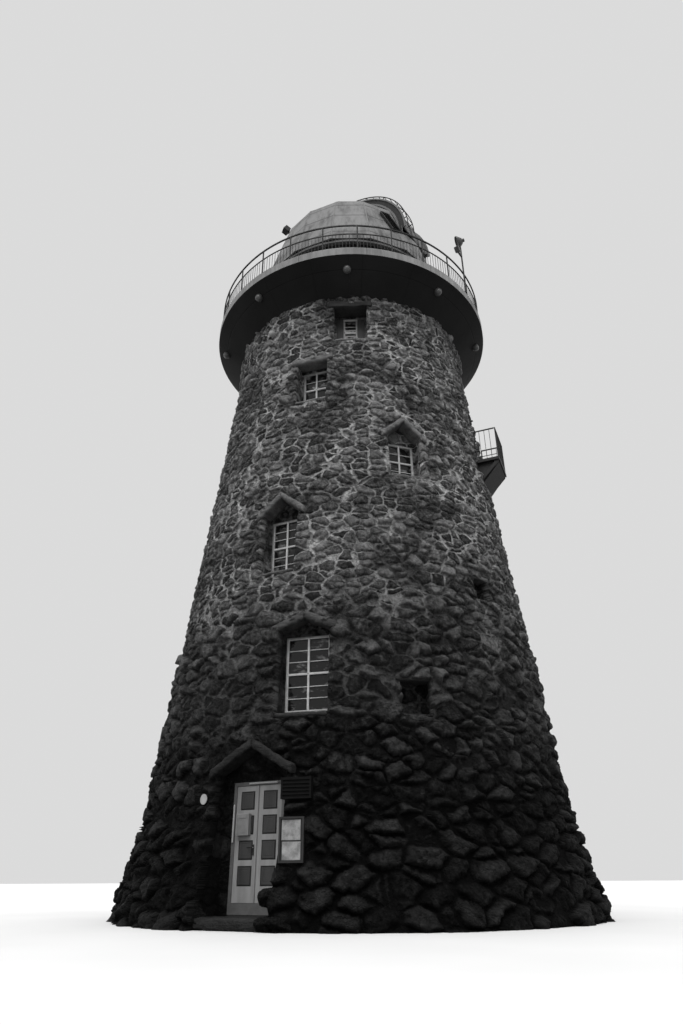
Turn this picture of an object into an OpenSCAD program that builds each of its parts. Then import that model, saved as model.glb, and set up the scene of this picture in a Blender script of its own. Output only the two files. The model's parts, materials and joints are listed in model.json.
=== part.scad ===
// Round observatory tower of rubble stone, with a cantilevered gallery and a turning sixteen-sided dome.
// Millimetres, +Z up, origin on the tower's axis at ground level.
// Bearings are in degrees from the -Y side, positive towards +X.

/* [Wall] */
// Radius of the wall at the ground
base_r = 5640; // [5300:10:6800]
// Height of the flared foot
foot_h = 1900; // [1500:50:2400]
// Radius of the wall at the top of the flared foot
foot_r = 5170; // [4950:10:5280]
// Height at which the batter ends, below the gallery
neck_z = 15200; // [14600:50:16000]
// Radius of the wall at the neck
neck_r = 3740; // [3500:10:4000]
// Wall thickness where the flared foot ends
foot_wall_t = 1000; // [850:10:1250]
// Wall thickness at the neck
neck_wall_t = 650; // [520:10:800]
// Segments in each ring of the wall
segments = 8; // [8:1:8]

/* [Storeys] */
// Height of the ground floor's surface
ground_floor_z = 400; // [300:10:480]
// Height of the second storey's floor
floor_2_z = 3000; // [2900:10:3100]
// Height of the third storey's floor
floor_3_z = 6350; // [6250:10:6450]
// Height of the fourth storey's floor
floor_4_z = 9000; // [8900:10:9100]
// Height of the fifth storey's floor
floor_5_z = 11600; // [11500:10:11650]
// Height of the sixth storey's floor
floor_6_z = 14150; // [14100:10:14250]
// Thickness of a floor
floor_t = 220; // [150:10:260]

/* [Window openings] */
// Width of the second storey's window
win_2_w = 1020; // [800:10:1200]
// Height of the second storey's window
win_2_h = 1660; // [1400:10:1750]
// Sill of the second storey's window above its floor
win_2_sill = 900; // [850:10:1000]
// Width of the third storey's window
win_3_w = 850; // [700:10:1000]
// Height of the third storey's window
win_3_h = 1470; // [1250:10:1600]
// Sill of the third storey's window above its floor
win_3_sill = 960; // [900:10:1000]
// Width of the fourth storey's window
win_4_w = 800; // [650:10:950]
// Height of the fourth storey's window
win_4_h = 1120; // [950:10:1250]
// Sill of the fourth storey's window above its floor
win_4_sill = 980; // [950:10:1050]
// Width of the fifth storey's window
win_5_w = 780; // [650:10:900]
// Height of the fifth storey's window
win_5_h = 1250; // [1000:10:1350]
// Sill of the fifth storey's window above its floor
win_5_sill = 1000; // [950:10:1100]
// Width of the sixth storey's window
win_6_w = 860; // [600:10:900]
// Height of the sixth storey's window
win_6_h = 1100; // [900:10:1150]
// Sill of the sixth storey's window above its floor
win_6_sill = 720; // [650:10:800]
// Width of the sixth storey's sashes between their boarding
sash_6_w = 440; // [380:10:520]
// Depth of a window's recess in the wall
win_recess = 420; // [300:10:480]
// Reveal of the recess beside each window
reveal = 60; // [30:5:80]
// Thickness of the stone slabs over the openings
slab_t = 190; // [120:10:220]
// How far the slabs bear on the wall beside an opening
slab_bearing = 170; // [100:10:220]
// How far slabs and sills stand out of the wall
slab_nose = 90; // [40:5:120]
// Thickness of a stone sill at the window
sill_t = 200; // [150:5:220]
// Fall of a stone sill from the window to its nose
sill_fall = 110; // [60:5:130]

/* [Entrance door] */
// Clear width between the door's jambs
door_w = 1050; // [950:10:1150]
// Clear height of the door
door_h = 2070; // [1950:10:2120]
// Thickness of a leaf
leaf_t = 45; // [40:1:50]
// Width of a leaf's stiles
stile_w = 95; // [80:5:110]
// Gap round each leaf
leaf_gap = 5; // [5:0.5:7]
// Width of the recess in front of the door
porch_w = 1600; // [1500:10:1640]
// Depth of the recess in front of the door
porch_d = 560; // [500:10:620]
// Rise of the gable over the recess
porch_rise = 470; // [380:10:500]

/* [Gallery] */
// Radius of the gallery slab
gallery_r = 4680; // [4580:10:5200]
// Height of the gallery slab's underside
gallery_z = 17280; // [17150:10:17500]
// Thickness of the gallery slab
gallery_t = 370; // [300:10:420]
// Height at which the conical soffit meets the wall
soffit_z = 16400; // [16250:10:16600]
// Height of the railing
rail_h = 990; // [900:10:1150]
// Height of the middle rail
mid_rail_h = 610; // [500:10:700]
// Bays in the gallery's railing
rail_bays = 27; // [24:1:30]
// Balusters in each bay
bay_bars = 9; // [7:1:10]

/* [Dome] */
// Radius of the drum below the dome
drum_r = 3200; // [3100:10:3250]
// Height of the drum wall
drum_h = 1800; // [1700:10:1900]
// Thickness of the drum wall
drum_t = 200; // [150:10:250]
// Radius of the dome's skirt at its corners
skirt_r = 3400; // [3370:10:3600]
// Height of the flared skirt
skirt_h = 1760; // [1600:10:1900]
// Radius of the dome at its corners
dome_r = 2880; // [2780:10:2950]
// Thickness of the dome's shell
shell_t = 60; // [40:5:80]
// Clear width of the slit
slit_w = 1500; // [1200:10:1600]
// Depth of the arched girders beside the slit
girder_d = 330; // [250:10:380]

/* [Balcony] */
// Width of the side balcony
balcony_w = 1150; // [1000:10:1300]
// Distance of the balcony's front from the tower's axis
balcony_r = 4780; // [4700:10:4900]
// Height of the balcony's railing
balcony_rail_h = 1020; // [900:10:1100]

/* [Hidden] */
$fn = 96;

// Hairline between the segments of a ring, in degrees, and the play of pieces set into the wall
joint_deg = 0.01;
fit = 0.3;
past = 7000;
heart = 1500;

// Courses of the round wall, split between the openings, and the bearing of each course's first segment,
// with no joint under a window
course_z = [0, 3600, 6700, 9700, 12100, 14420, gallery_z];
course_az = [-22.5, -22.5, -22.5, -22.5, -22.5, 0];

// Windows: bearing, width, height, sill height, rise of the gable over them, sashes across, sashes high,
// and the width of the frame, with boarding beside it where it is narrower than the opening
front_windows = [
    [-13.3, win_2_w, win_2_h, floor_2_z + win_2_sill, 230, 2, 2, win_2_w],
    [-23.8, win_3_w, win_3_h, floor_3_z + win_3_sill, 400, 2, 2, win_3_w],
    [19, win_4_w, win_4_h, floor_4_z + win_4_sill, 430, 2, 2, win_4_w],
    [-16.5, win_5_w, win_5_h, floor_5_z + win_5_sill, 0, 2, 2, win_5_w],
    [0, win_6_w, win_6_h, floor_6_z + win_6_sill, 0, 2, 1, sash_6_w],
];
back_windows = [for (w = front_windows) [w[0] + 180, w[1], w[2], w[3], w[4], w[5], w[6], w[7]]];
windows = concat(front_windows, back_windows);

// Blind niches: bearing, width, height, sill height, depth
niches = [
    [14.6, 660, 640, 3800, 350],
    [41.4, 500, 460, 6760, 300],
    [28.5, 170, 270, 14900, 300],
];

door_az = -24.5;
frame_w = 70;
frame_d = 90;
kick_h = 190;
leaf_set = 12;
meeting_gap = 9;
leaf_w = (door_w - 2 * leaf_gap - meeting_gap) / 2;
leaf_h = door_h - 2 * leaf_gap;
door_sill_z = ground_floor_z + 10;
door_plane = wall_r(1400) - porch_d;
porch_eaves_z = door_sill_z + door_h + frame_w + 130;
step_h = 200;

panel_rows = 4;
panel_rail = 100;
bottom_rail = 275;
panel_h = (leaf_h - bottom_rail - panel_rows * panel_rail) / panel_rows;
panel_w = leaf_w - 2 * stile_w;
pin_r = 7;
pin_play = 0.3;
knuckle_r = 12;
knuckle_h = 60;
pin_in = 18;
pin_out = 17;
hinge_levels = [door_sill_z + 230, door_sill_z + door_h / 2, door_sill_z + door_h - 260];

balcony_az = 68.8;
balcony_t = 90;
balcony_door_w = 760;
balcony_door_h = 1950;

deck_z = gallery_z + gallery_t;
rail_r = gallery_r - 76;
rail_s = 40;
bay_deg = 360 / rail_bays;
rail_az = 2.8;
mast_az = 54.5;
mast_pole_r = 25;
mast_h = 2100;
mast_r = gallery_r - mast_pole_r - 1;

drum_door_w = 820;
drum_door_h = 1650;
drum_door_z = deck_z + 40;

dome_sides = 16;
dome_az = 12.1;
ring_h = 80;
ring_r = drum_r + 130;
ring_z = deck_z + drum_h;
roller_r = 60;
roller_w = 70;
rollers = 12;
rail_z = ring_z + ring_h + 15 + 2 * roller_r + fit;
skirt_z = rail_z - 75;
spring_z = skirt_z + skirt_h;
dome_z0 = spring_z - 150;
slit_az = 55;
girder_x = slit_w / 2 + 60;
girder_t = 50;
girder_out = dome_r + 175;

// Wall profile: straight batter between the flared foot and the neck, outside and inside
function wall_r(z) = z < foot_h ? base_r + (foot_r - base_r) * z / foot_h
    : z < neck_z ? foot_r + (neck_r - foot_r) * (z - foot_h) / (neck_z - foot_h)
    : neck_r;
function room_r(z) = z < neck_z
    ? foot_r - foot_wall_t + (neck_r - neck_wall_t - foot_r + foot_wall_t) * (z - foot_h) / (neck_z - foot_h)
    : neck_r - neck_wall_t;
function between(z, lo, hi) = z > lo && z < hi ? [z] : [];
function levels(lo, hi) = concat([lo], between(foot_h, lo, hi), between(neck_z, lo, hi), [hi]);
function reversed(list) = [for (i = [len(list) - 1 : -1 : 0]) list[i]];
function plane_of(w) = wall_r(w[3] + w[2] / 2) - win_recess;
function recess_top(w) = w[3] + w[2] + reveal;

module wall_profile(lo, hi) {
    zs = levels(lo, hi);
    polygon(concat([for (z = zs) [room_r(z), z]], [for (z = reversed(zs)) [wall_r(z), z]]));
}

// A sector between two bearings, swept from a profile of radius and height
module sector(from_az, to_az) {
    rotate([0, 0, from_az - 90]) rotate_extrude(angle = to_az - from_az, $fn = 240) children();
}

// An elevation, drawn in x and z, pushed outwards along a bearing between two distances from the axis
module outward(az, from_r, to_r) {
    rotate([0, 0, az]) rotate([90, 0, 0]) translate([0, 0, from_r])
        linear_extrude(height = to_r - from_r) children();
}

// A side profile, drawn in y and z, swept across a width at a bearing
module across(az, width) {
    rotate([0, 0, az]) translate([-width / 2, 0, 0]) rotate([90, 0, 90])
        linear_extrude(height = width) children();
}

module course_ring(k) {
    step = 360 / segments;
    for (i = [0 : segments - 1]) {
        mid = course_az[k] + i * step;
        sector(mid - step / 2 + joint_deg / 2, mid + step / 2 - joint_deg / 2)
            wall_profile(course_z[k], course_z[k + 1] - fit);
    }
}

// Two stones leaning on each other, or one flat stone where there is no rise
module slab_elevation(half, eaves_z, rise, thick) {
    wide = half + slab_bearing - fit;
    body = thick - 2 * fit;
    if (rise > 0) {
        slope = rise / half;
        low = eaves_z - wide * slope + rise + fit;
        top = eaves_z + rise - 2 * slope + fit;
        for (side = [-1, 1]) {
            polygon([
                [side * wide, low],
                [side * 2, top],
                [side * 2, top + body],
                [side * wide, low + body],
            ]);
        }
    } else {
        translate([-wide, eaves_z + fit]) square([2 * wide, body]);
    }
}

// A recess and the bed of the slabs over it, in one outline
module recess_elevation(half, low_z, eaves_z, rise, bearing, thick) {
    wide = half + bearing;
    toe_z = eaves_z - bearing * rise / half;
    right = [[half, low_z], [half, eaves_z], [wide, toe_z], [wide, toe_z + thick]];
    left = [for (p = reversed(right)) [-p[0], p[1]]];
    polygon(concat(right, rise > 0 ? [[0, eaves_z + rise + thick]] : [], left));
}

module window_void(w) {
    outward(w[0], plane_of(w), past)
        recess_elevation(w[1] / 2 + reveal, w[3] - sill_t, recess_top(w), w[4], slab_bearing, slab_t);
    outward(w[0], heart, plane_of(w) + 1) translate([-w[1] / 2, w[3]]) square([w[1], w[2]]);
}

module niche_void(n) {
    outward(n[0], wall_r(n[3] + n[2] / 2) - n[4], past)
        recess_elevation(n[1] / 2, n[3] - sill_t / 2, n[3] + n[2], 0, slab_bearing / 2, slab_t * 2 / 3);
}

module opening_voids(k) {
    for (w = windows) {
        if (w[3] - sill_t < course_z[k + 1] && recess_top(w) + w[4] + slab_t > course_z[k]) window_void(w);
    }
    for (n = niches) {
        if (n[3] - sill_t < course_z[k + 1] && n[3] + n[2] + slab_t > course_z[k]) niche_void(n);
    }
    if (k == 3 || k == 4) balcony_door_void();
}

module balcony_door_void() {
    outward(balcony_az, heart, past)
        translate([-balcony_door_w / 2, floor_5_z]) square([balcony_door_w, balcony_door_h]);
}

// Plan of the entrance: the wide recess outside, the narrower passage behind the frame
module porch_plan(widen) {
    passage = door_w + 2 * frame_w + widen;
    translate([-porch_w / 2 - widen / 2, -past]) square([porch_w + widen, past - door_plane]);
    translate([-passage / 2, -door_plane - 1]) square([passage, door_plane + 1 - heart]);
}

module porch_void() {
    rotate([0, 0, door_az]) translate([0, 0, -1]) linear_extrude(height = course_z[1] + 2) porch_plan(0);
}

module porch_recess() {
    outward(door_az, door_plane, past)
        recess_elevation(porch_w / 2, -1, porch_eaves_z, porch_rise, slab_bearing, slab_t);
}

module wall_course(k) {
    color([0.34, 0.34, 0.34]) difference() {
        course_ring(k);
        opening_voids(k);
    }
}

module wall_1() {
    color([0.26, 0.26, 0.26]) difference() {
        course_ring(0);
        porch_void();
        porch_recess();
    }
}

module door_head() {
    head_z = door_sill_z + door_h + frame_w;
    color([0.28, 0.28, 0.28]) difference() {
        intersection() {
            sector(door_az - 14, door_az + 14) wall_profile(head_z, course_z[1] - fit);
            rotate([0, 0, door_az]) linear_extrude(height = course_z[1]) porch_plan(-2 * fit);
        }
        porch_recess();
    }
}

module wall_2() {
    wall_course(1);
}

module wall_3() {
    wall_course(2);
}

module wall_4() {
    wall_course(3);
}

module wall_5() {
    wall_course(4);
}

module wall_6() {
    wall_course(5);
}

module porch_slabs() {
    color([0.3, 0.3, 0.3])
        outward(door_az, door_plane, wall_r(porch_eaves_z) + slab_nose)
            slab_elevation(porch_w / 2, porch_eaves_z, porch_rise, slab_t);
}

module window_slabs() {
    color([0.36, 0.36, 0.36]) {
        for (w = windows) {
            outward(w[0], plane_of(w), wall_r(recess_top(w)) + slab_nose)
                slab_elevation(w[1] / 2 + reveal, recess_top(w), w[4], slab_t);
        }
        for (n = niches) {
            outward(n[0], wall_r(n[3] + n[2] / 2) - n[4], wall_r(n[3] + n[2]) + slab_nose / 2)
                translate([-n[1] / 2 - slab_bearing / 2 + fit, n[3] + n[2] + fit])
                    square([n[1] + slab_bearing - 2 * fit, slab_t * 2 / 3 - 2 * fit]);
        }
    }
}

// A stone sill: flat bed, top falling from the window to the nose
module sill(az, width, back_r, nose_r, top_z, thick, fall) {
    across(az, width)
        polygon([[-back_r, top_z - thick], [-back_r, top_z], [-nose_r, top_z - fall], [-nose_r, top_z - thick]]);
}

module window_sills() {
    color([0.4, 0.4, 0.4]) {
        for (w = windows) {
            sill(w[0], w[1] + 2 * reveal, plane_of(w), wall_r(w[3]) + slab_nose / 2, w[3], sill_t, sill_fall);
        }
        for (n = niches) {
            sill(n[0], n[1], wall_r(n[3] + n[2] / 2) - n[4], wall_r(n[3]) + slab_nose / 3, n[3],
                sill_t / 2, sill_fall / 2);
        }
    }
}

// A painted casement frame with its mullions and transoms, seen from outside in x and z
module sash_frame(width, height, across_n, high_n) {
    border = 55;
    bar = 46;
    light_w = (width - 2 * border - (across_n - 1) * bar) / across_n;
    light_h = (height - 2 * border - (high_n - 1) * bar) / high_n;
    difference() {
        translate([-width / 2, 0]) square([width, height]);
        for (i = [0 : across_n - 1]) {
            for (j = [0 : high_n - 1]) {
                translate([-width / 2 + border + i * (light_w + bar), border + j * (light_h + bar)])
                    square([light_w, light_h]);
            }
        }
    }
}

module window_frames() {
    color([0.82, 0.82, 0.8]) {
        for (w = windows) {
            // The frame proper, then the deeper rim that holds the glass behind the bars
            outward(w[0], plane_of(w) - 45, plane_of(w)) translate([0, w[3] + fit])
                sash_frame(w[7] - 2 * fit, w[2] - 2 * fit, w[5], w[6]);
            outward(w[0], plane_of(w) - 80, plane_of(w) - 45) translate([0, w[3] + fit])
                sash_frame(w[7] - 2 * fit, w[2] - 2 * fit, 1, 1);
        }
    }
}

// Painted boards that close an opening on both sides of a narrower window
module window_boarding() {
    color([0.45, 0.45, 0.45]) {
        for (w = windows) {
            if (w[7] < w[1]) {
                for (side = [-1, 1]) {
                    outward(w[0], plane_of(w) - 50, plane_of(w) - 15)
                        translate([side * (w[7] + w[1]) / 4 - (w[1] - w[7]) / 4 + fit, w[3] + fit])
                            square([(w[1] - w[7]) / 2 - 2 * fit, w[2] - 2 * fit]);
                }
            }
        }
    }
}

module window_glass() {
    color([0.7, 0.75, 0.78, 0.5]) {
        for (w = windows) {
            outward(w[0], plane_of(w) - 53, plane_of(w) - 45)
                translate([-w[7] / 2 + 55 + 2 * fit, w[3] + 55 + 2 * fit])
                    square([w[7] - 110 - 4 * fit, w[2] - 110 - 4 * fit]);
        }
    }
}

// Places a child drawn with its hinge axis at the origin, on the left or right jamb
module at_hinge(side) {
    rotate([0, 0, door_az])
        translate([side * (door_w / 2 - pin_in), -door_plane + leaf_set + leaf_t + pin_out, 0]) children();
}

module door_frame() {
    outer_w = door_w + 2 * frame_w;
    color([0.72, 0.72, 0.7]) union() {
        difference() {
            outward(door_az, door_plane - frame_d, door_plane)
                translate([-outer_w / 2 + fit, door_sill_z - kick_h])
                    square([outer_w - 2 * fit, kick_h + door_h + frame_w - fit]);
            outward(door_az, door_plane - frame_d - 1, door_plane + 1)
                translate([-door_w / 2, door_sill_z]) square([door_w, door_h]);
        }
        for (side = [-1, 1]) {
            for (z = hinge_levels) {
                at_hinge(side) {
                    translate([0, 0, z]) cylinder(r = knuckle_r, h = knuckle_h);
                    translate([0, 0, z + knuckle_h]) cylinder(r = pin_r, h = knuckle_h);
                    translate([side > 0 ? 0 : -pin_in - 12, -6, z]) cube([pin_in + 12, 12, knuckle_h]);
                }
            }
        }
    }
}

// One leaf: stiles, rails, four raised panels, and the hinge knuckles that turn on the jamb's pins
module door_leaf(side) {
    left_x = side < 0 ? -door_w / 2 + leaf_gap : meeting_gap / 2;
    face_r = door_plane - leaf_set;
    difference() {
        union() {
            outward(door_az, face_r - leaf_t, face_r)
                translate([left_x, door_sill_z + leaf_gap]) square([leaf_w, leaf_h]);
            for (z = hinge_levels) {
                at_hinge(side) {
                    translate([0, 0, z + knuckle_h + 1]) cylinder(r = knuckle_r, h = knuckle_h);
                    translate([side < 0 ? 0 : -40, -pin_out - 3, z + knuckle_h + 1])
                        cube([40, 14, knuckle_h]);
                }
            }
        }
        for (row = [0 : panel_rows - 1]) {
            low = door_sill_z + leaf_gap + bottom_rail + row * (panel_h + panel_rail);
            for (face = [[face_r - 12, face_r + 1], [face_r - leaf_t - 1, face_r - leaf_t + 12]]) {
                outward(door_az, face[0], face[1]) difference() {
                    translate([left_x + stile_w, low]) square([panel_w, panel_h]);
                    translate([left_x + stile_w + 30, low + 30]) square([panel_w - 60, panel_h - 60]);
                }
            }
        }
        for (z = hinge_levels) {
            at_hinge(side) translate([0, 0, z + knuckle_h]) cylinder(r = pin_r + pin_play, h = knuckle_h + 2);
        }
    }
}

module door_leaf_left() {
    face_r = door_plane - leaf_set;
    color([0.45, 0.45, 0.44]) union() {
        door_leaf(-1);
        // Letter box, astragal strip and the lever handle by the meeting stile
        outward(door_az, face_r, face_r + 100)
            translate([-door_w / 2 + 70, door_sill_z + 1160]) square([290, 390]);
        outward(door_az, face_r, face_r + 14)
            translate([-meeting_gap / 2 - 46, door_sill_z + leaf_gap]) square([38, leaf_h]);
        outward(door_az, face_r, face_r + 8)
            translate([-meeting_gap / 2 - 92, door_sill_z + 800]) square([38, 200]);
        outward(door_az, face_r + 6, face_r + 60)
            translate([-meeting_gap / 2 - 73, door_sill_z + 940]) circle(r = 9);
        outward(door_az, face_r + 42, face_r + 60)
            translate([-meeting_gap / 2 - 190, door_sill_z + 931]) square([123, 18]);
    }
}

module door_leaf_right() {
    color([0.45, 0.45, 0.44]) door_leaf(1);
}

// The step outside, the bed under the frame and the threshold that fills the passage up to the floor
module door_step() {
    passage = door_w + 2 * frame_w - 2 * fit;
    color([0.25, 0.25, 0.25]) difference() {
        union() {
            outward(door_az, door_plane + fit, wall_r(0) - 120)
                translate([-porch_w / 2 + fit, 0]) square([porch_w - 2 * fit, step_h]);
            outward(door_az, door_plane - frame_d - 1, door_plane + 1)
                translate([-passage / 2, 0]) square([passage, door_sill_z - kick_h - fit]);
            outward(door_az, heart * 2, door_plane - frame_d - fit)
                translate([-passage / 2, 0]) square([passage, ground_floor_z]);
        }
        translate([0, 0, -1]) cylinder(r1 = room_r(-1) + fit, r2 = room_r(500) + fit, h = 501, $fn = 360);
    }
}

module floor_disc(top_z) {
    translate([0, 0, top_z - floor_t])
        cylinder(r1 = room_r(top_z - floor_t) - fit, r2 = room_r(top_z) - fit, h = floor_t);
}

module ground_floor() {
    color([0.4, 0.4, 0.38]) floor_disc(ground_floor_z);
}

module upper_floors() {
    color([0.45, 0.43, 0.4]) {
        for (z = [floor_2_z, floor_3_z, floor_4_z, floor_5_z, floor_6_z]) floor_disc(z);
    }
}

module gallery_collar() {
    color([0.2, 0.2, 0.2]) {
        for (i = [0 : segments - 1]) {
            sector(45 * i + joint_deg, 45 * i + 45 - joint_deg)
                polygon([
                    [neck_r + fit, soffit_z],
                    [gallery_r, gallery_z - fit],
                    [neck_r + fit, gallery_z - fit],
                ]);
        }
    }
}

module gallery_slab() {
    color([0.66, 0.66, 0.64]) translate([0, 0, gallery_z]) cylinder(r = gallery_r, h = gallery_t);
}

// One bay: a post, two curved rails and the balusters that run from the deck to the middle rail
module rail_bay(az) {
    run = bay_deg - 0.1;
    sector(az, az + run) translate([rail_r - rail_s / 2, deck_z + rail_h - rail_s]) square([rail_s, rail_s]);
    sector(az, az + run) translate([rail_r - 14, deck_z + mid_rail_h - 28]) square([28, 28]);
    rotate([0, 0, az + 0.35]) translate([0, -rail_r, deck_z + fit]) cylinder(r = 22, h = rail_h - 10, $fn = 8);
    for (i = [1 : bay_bars]) {
        rotate([0, 0, az + i * bay_deg / (bay_bars + 1)]) translate([0, -rail_r, deck_z + fit])
            cylinder(r = 8, h = mid_rail_h - 10, $fn = 6);
    }
}

module gallery_railing() {
    color([0.16, 0.16, 0.16]) {
        for (i = [0 : rail_bays - 1]) rail_bay(rail_az + i * bay_deg);
    }
}

module soffit_lamps() {
    mid_r = (neck_r + 2 * gallery_r) / 3;
    lean = atan((gallery_z - soffit_z) / (gallery_r - neck_r));
    color([0.6, 0.6, 0.58]) {
        for (i = [0 : 8]) {
            rotate([0, 0, -1 + 40 * i])
                translate([0, -mid_r, soffit_z + (mid_r - neck_r) * tan(lean)])
                    rotate([-lean, 0, 0]) translate([0, 0, -fit]) rotate([180, 0, 0]) bulkhead_lamp();
        }
    }
}

module bulkhead_lamp() {
    rotate_extrude() polygon(concat([[0, 0], [125, 0], [125, 45]],
        [for (a = [0 : 15 : 90]) [105 * cos(a), 45 + 75 * sin(a)]]));
}

module lamp_mast() {
    color([0.15, 0.15, 0.15]) rotate([0, 0, mast_az]) union() {
        translate([0, -mast_r, deck_z]) cylinder(r = mast_pole_r, h = mast_h);
        translate([-60, -mast_r - 22, deck_z]) cube([120, 44, 12]);
    }
}

module mast_floodlights() {
    top_z = deck_z + mast_h;
    color([0.3, 0.3, 0.3]) rotate([0, 0, mast_az]) translate([0, -mast_r, 0]) {
        // Small box lamp on a clamp, then the round lamp with its yoke on the pole's top
        union() {
            difference() {
                translate([-190, -38, top_z - 660]) cube([230, 76, 70]);
                translate([0, 0, top_z - 670]) cylinder(r = mast_pole_r + fit, h = 90);
            }
            translate([-230, 0, top_z - 600]) rotate([0, -38, 0]) cube([250, 210, 100], center = true);
        }
        translate([0, 0, top_z]) union() {
            cylinder(r = 40, h = 40);
            translate([-20, -20, 30]) cube([40, 40, 120]);
            translate([0, 0, 220]) rotate([0, 40, 0]) {
                translate([0, 0, 0]) cylinder(r1 = 150, r2 = 240, h = 110);
                translate([0, 0, 109]) cylinder(r = 255, h = 28);
                translate([0, 0, -70]) cylinder(r = 90, h = 72);
            }
        }
    }
}

module balcony_platform() {
    front_r = balcony_r;
    wall_face = wall_r(floor_5_z - balcony_t);
    color([0.2, 0.2, 0.2]) rotate([0, 0, balcony_az]) union() {
        difference() {
            translate([-balcony_w / 2, -front_r, floor_5_z - balcony_t])
                cube([balcony_w, front_r - heart, balcony_t]);
            translate([0, 0, floor_5_z - balcony_t - 1])
                cylinder(r1 = wall_r(floor_5_z - balcony_t - 1) + fit, r2 = wall_r(floor_5_z + 1) + fit,
                    h = balcony_t + 2, $fn = 720);
        }
        for (side = [-1, 1]) {
            difference() {
                translate([side * (balcony_w / 2 - 60) - 25, 0, 0]) rotate([90, 0, 90]) linear_extrude(height = 50)
                    polygon([
                        [-front_r + 40, floor_5_z - balcony_t + 5],
                        [-front_r + 40, floor_5_z - balcony_t - 60],
                        [-wall_face + 200, floor_5_z - 1000],
                        [-wall_face + 200, floor_5_z - 860],
                        [-front_r + 160, floor_5_z - balcony_t - 60],
                        [-front_r + 160, floor_5_z - balcony_t + 5],
                    ]);
                translate([0, 0, floor_5_z - 1100])
                    cylinder(r1 = wall_r(floor_5_z - 1100) + fit, r2 = wall_r(floor_5_z) + fit, h = 1100, $fn = 720);
            }
        }
    }
}

module balcony_railing() {
    inset = 25;
    half = balcony_w / 2 - inset;
    side_len = balcony_r - inset - sqrt(wall_r(floor_5_z) * wall_r(floor_5_z) - half * half) - 20;
    bars = 9;
    color([0.15, 0.15, 0.15]) rotate([0, 0, balcony_az]) {
        // Front panel, then the two side panels that end short of the wall
        translate([0, -balcony_r + inset, floor_5_z]) union() {
            translate([-half - 15, -15, balcony_rail_h - 30]) cube([2 * half + 30, 30, 30]);
            translate([-half, -8, 90]) cube([2 * half, 16, 16]);
            for (i = [0 : bars + 1]) {
                translate([-half + 2 * half * i / (bars + 1), 0, i == 0 || i == bars + 1 ? 0 : 90])
                    cylinder(r = i == 0 || i == bars + 1 ? 16 : 8,
                        h = balcony_rail_h - 20 - (i == 0 || i == bars + 1 ? 0 : 90), $fn = 6);
            }
        }
        for (side = [-1, 1]) {
            translate([side * half, -balcony_r + inset + 22, floor_5_z]) union() {
                translate([-15, 0, balcony_rail_h - 30]) cube([30, side_len - 22, 30]);
                translate([-8, 0, 90]) cube([16, side_len - 22, 16]);
                for (i = [1 : 4]) {
                    translate([0, (side_len - 40) * i / 4, i == 4 ? 0 : 90])
                        cylinder(r = i == 4 ? 16 : 8, h = balcony_rail_h - 20 - (i == 4 ? 0 : 90), $fn = 6);
                }
            }
        }
    }
}

module balcony_door() {
    plane = wall_r(floor_5_z + balcony_door_h / 2) - win_recess;
    color([0.5, 0.5, 0.5]) union() {
        outward(balcony_az, plane - 60, plane) translate([0, floor_5_z + fit])
            sash_frame(balcony_door_w - 2 * fit, balcony_door_h - 2 * fit, 1, 2);
        outward(balcony_az, plane - 40, plane - 28)
            translate([-balcony_door_w / 2 + 50, floor_5_z + 50])
                square([balcony_door_w - 100, balcony_door_h - 100]);
    }
}

// Ring of segments with the doorway left between the last and the first, and a lintel over it
module drum_wall() {
    jamb_deg = asin(drum_door_w / 2 / drum_r);
    lintel_z = drum_door_z + drum_door_h + fit;
    color([0.22, 0.22, 0.22]) difference() {
        union() {
            for (i = [0 : segments - 1]) {
                from_az = i == 0 ? jamb_deg : 45 * i + joint_deg;
                to_az = i == segments - 1 ? 360 - jamb_deg : 45 * i + 45 - joint_deg;
                sector(180 + from_az, 180 + to_az)
                    translate([drum_r - drum_t, deck_z + fit]) square([drum_t, drum_h - 2 * fit]);
            }
            sector(180 - jamb_deg + joint_deg, 180 + jamb_deg - joint_deg)
                translate([drum_r - drum_t, lintel_z]) square([drum_t, ring_z - fit - lintel_z]);
            sector(180 - jamb_deg + joint_deg, 180 + jamb_deg - joint_deg)
                translate([drum_r - drum_t, deck_z + fit]) square([drum_t, drum_door_z - deck_z - 2 * fit]);
        }
        outward(180, heart, past) translate([-drum_door_w / 2, drum_door_z])
            square([drum_door_w, drum_door_h]);
    }
}

module drum_door() {
    rim = 40;
    color([0.4, 0.4, 0.4]) union() {
        outward(180, drum_r - 120, drum_r - 60) translate([0, drum_door_z + fit])
            sash_frame(drum_door_w - 2 * fit, drum_door_h - 2 * fit, 1, 1);
        outward(180, drum_r - 105, drum_r - 75)
            translate([rim - drum_door_w / 2, drum_door_z + rim])
                square([drum_door_w - 2 * rim, drum_door_h - 2 * rim]);
    }
}

// Ring beam on the drum, with the brackets that carry the rollers
module track_ring() {
    color([0.45, 0.45, 0.45]) union() {
        for (i = [0 : segments - 1]) {
            sector(45 * (i - 1) + joint_deg, 45 * i - joint_deg)
                translate([drum_r - drum_t, ring_z]) square([ring_r - drum_r + drum_t, ring_h]);
        }
        for (i = [0 : rollers - 1]) {
            rotate([0, 0, 15 + 30 * i]) difference() {
                translate([-20, -drum_r + 18, ring_z + ring_h]) cube([40, 20, roller_r + 45]);
                translate([0, -drum_r + 10, ring_z + ring_h + 15 + roller_r]) rotate([-90, 0, 0])
                    cylinder(r = 15 + pin_play, h = 40);
            }
        }
    }
}

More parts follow.
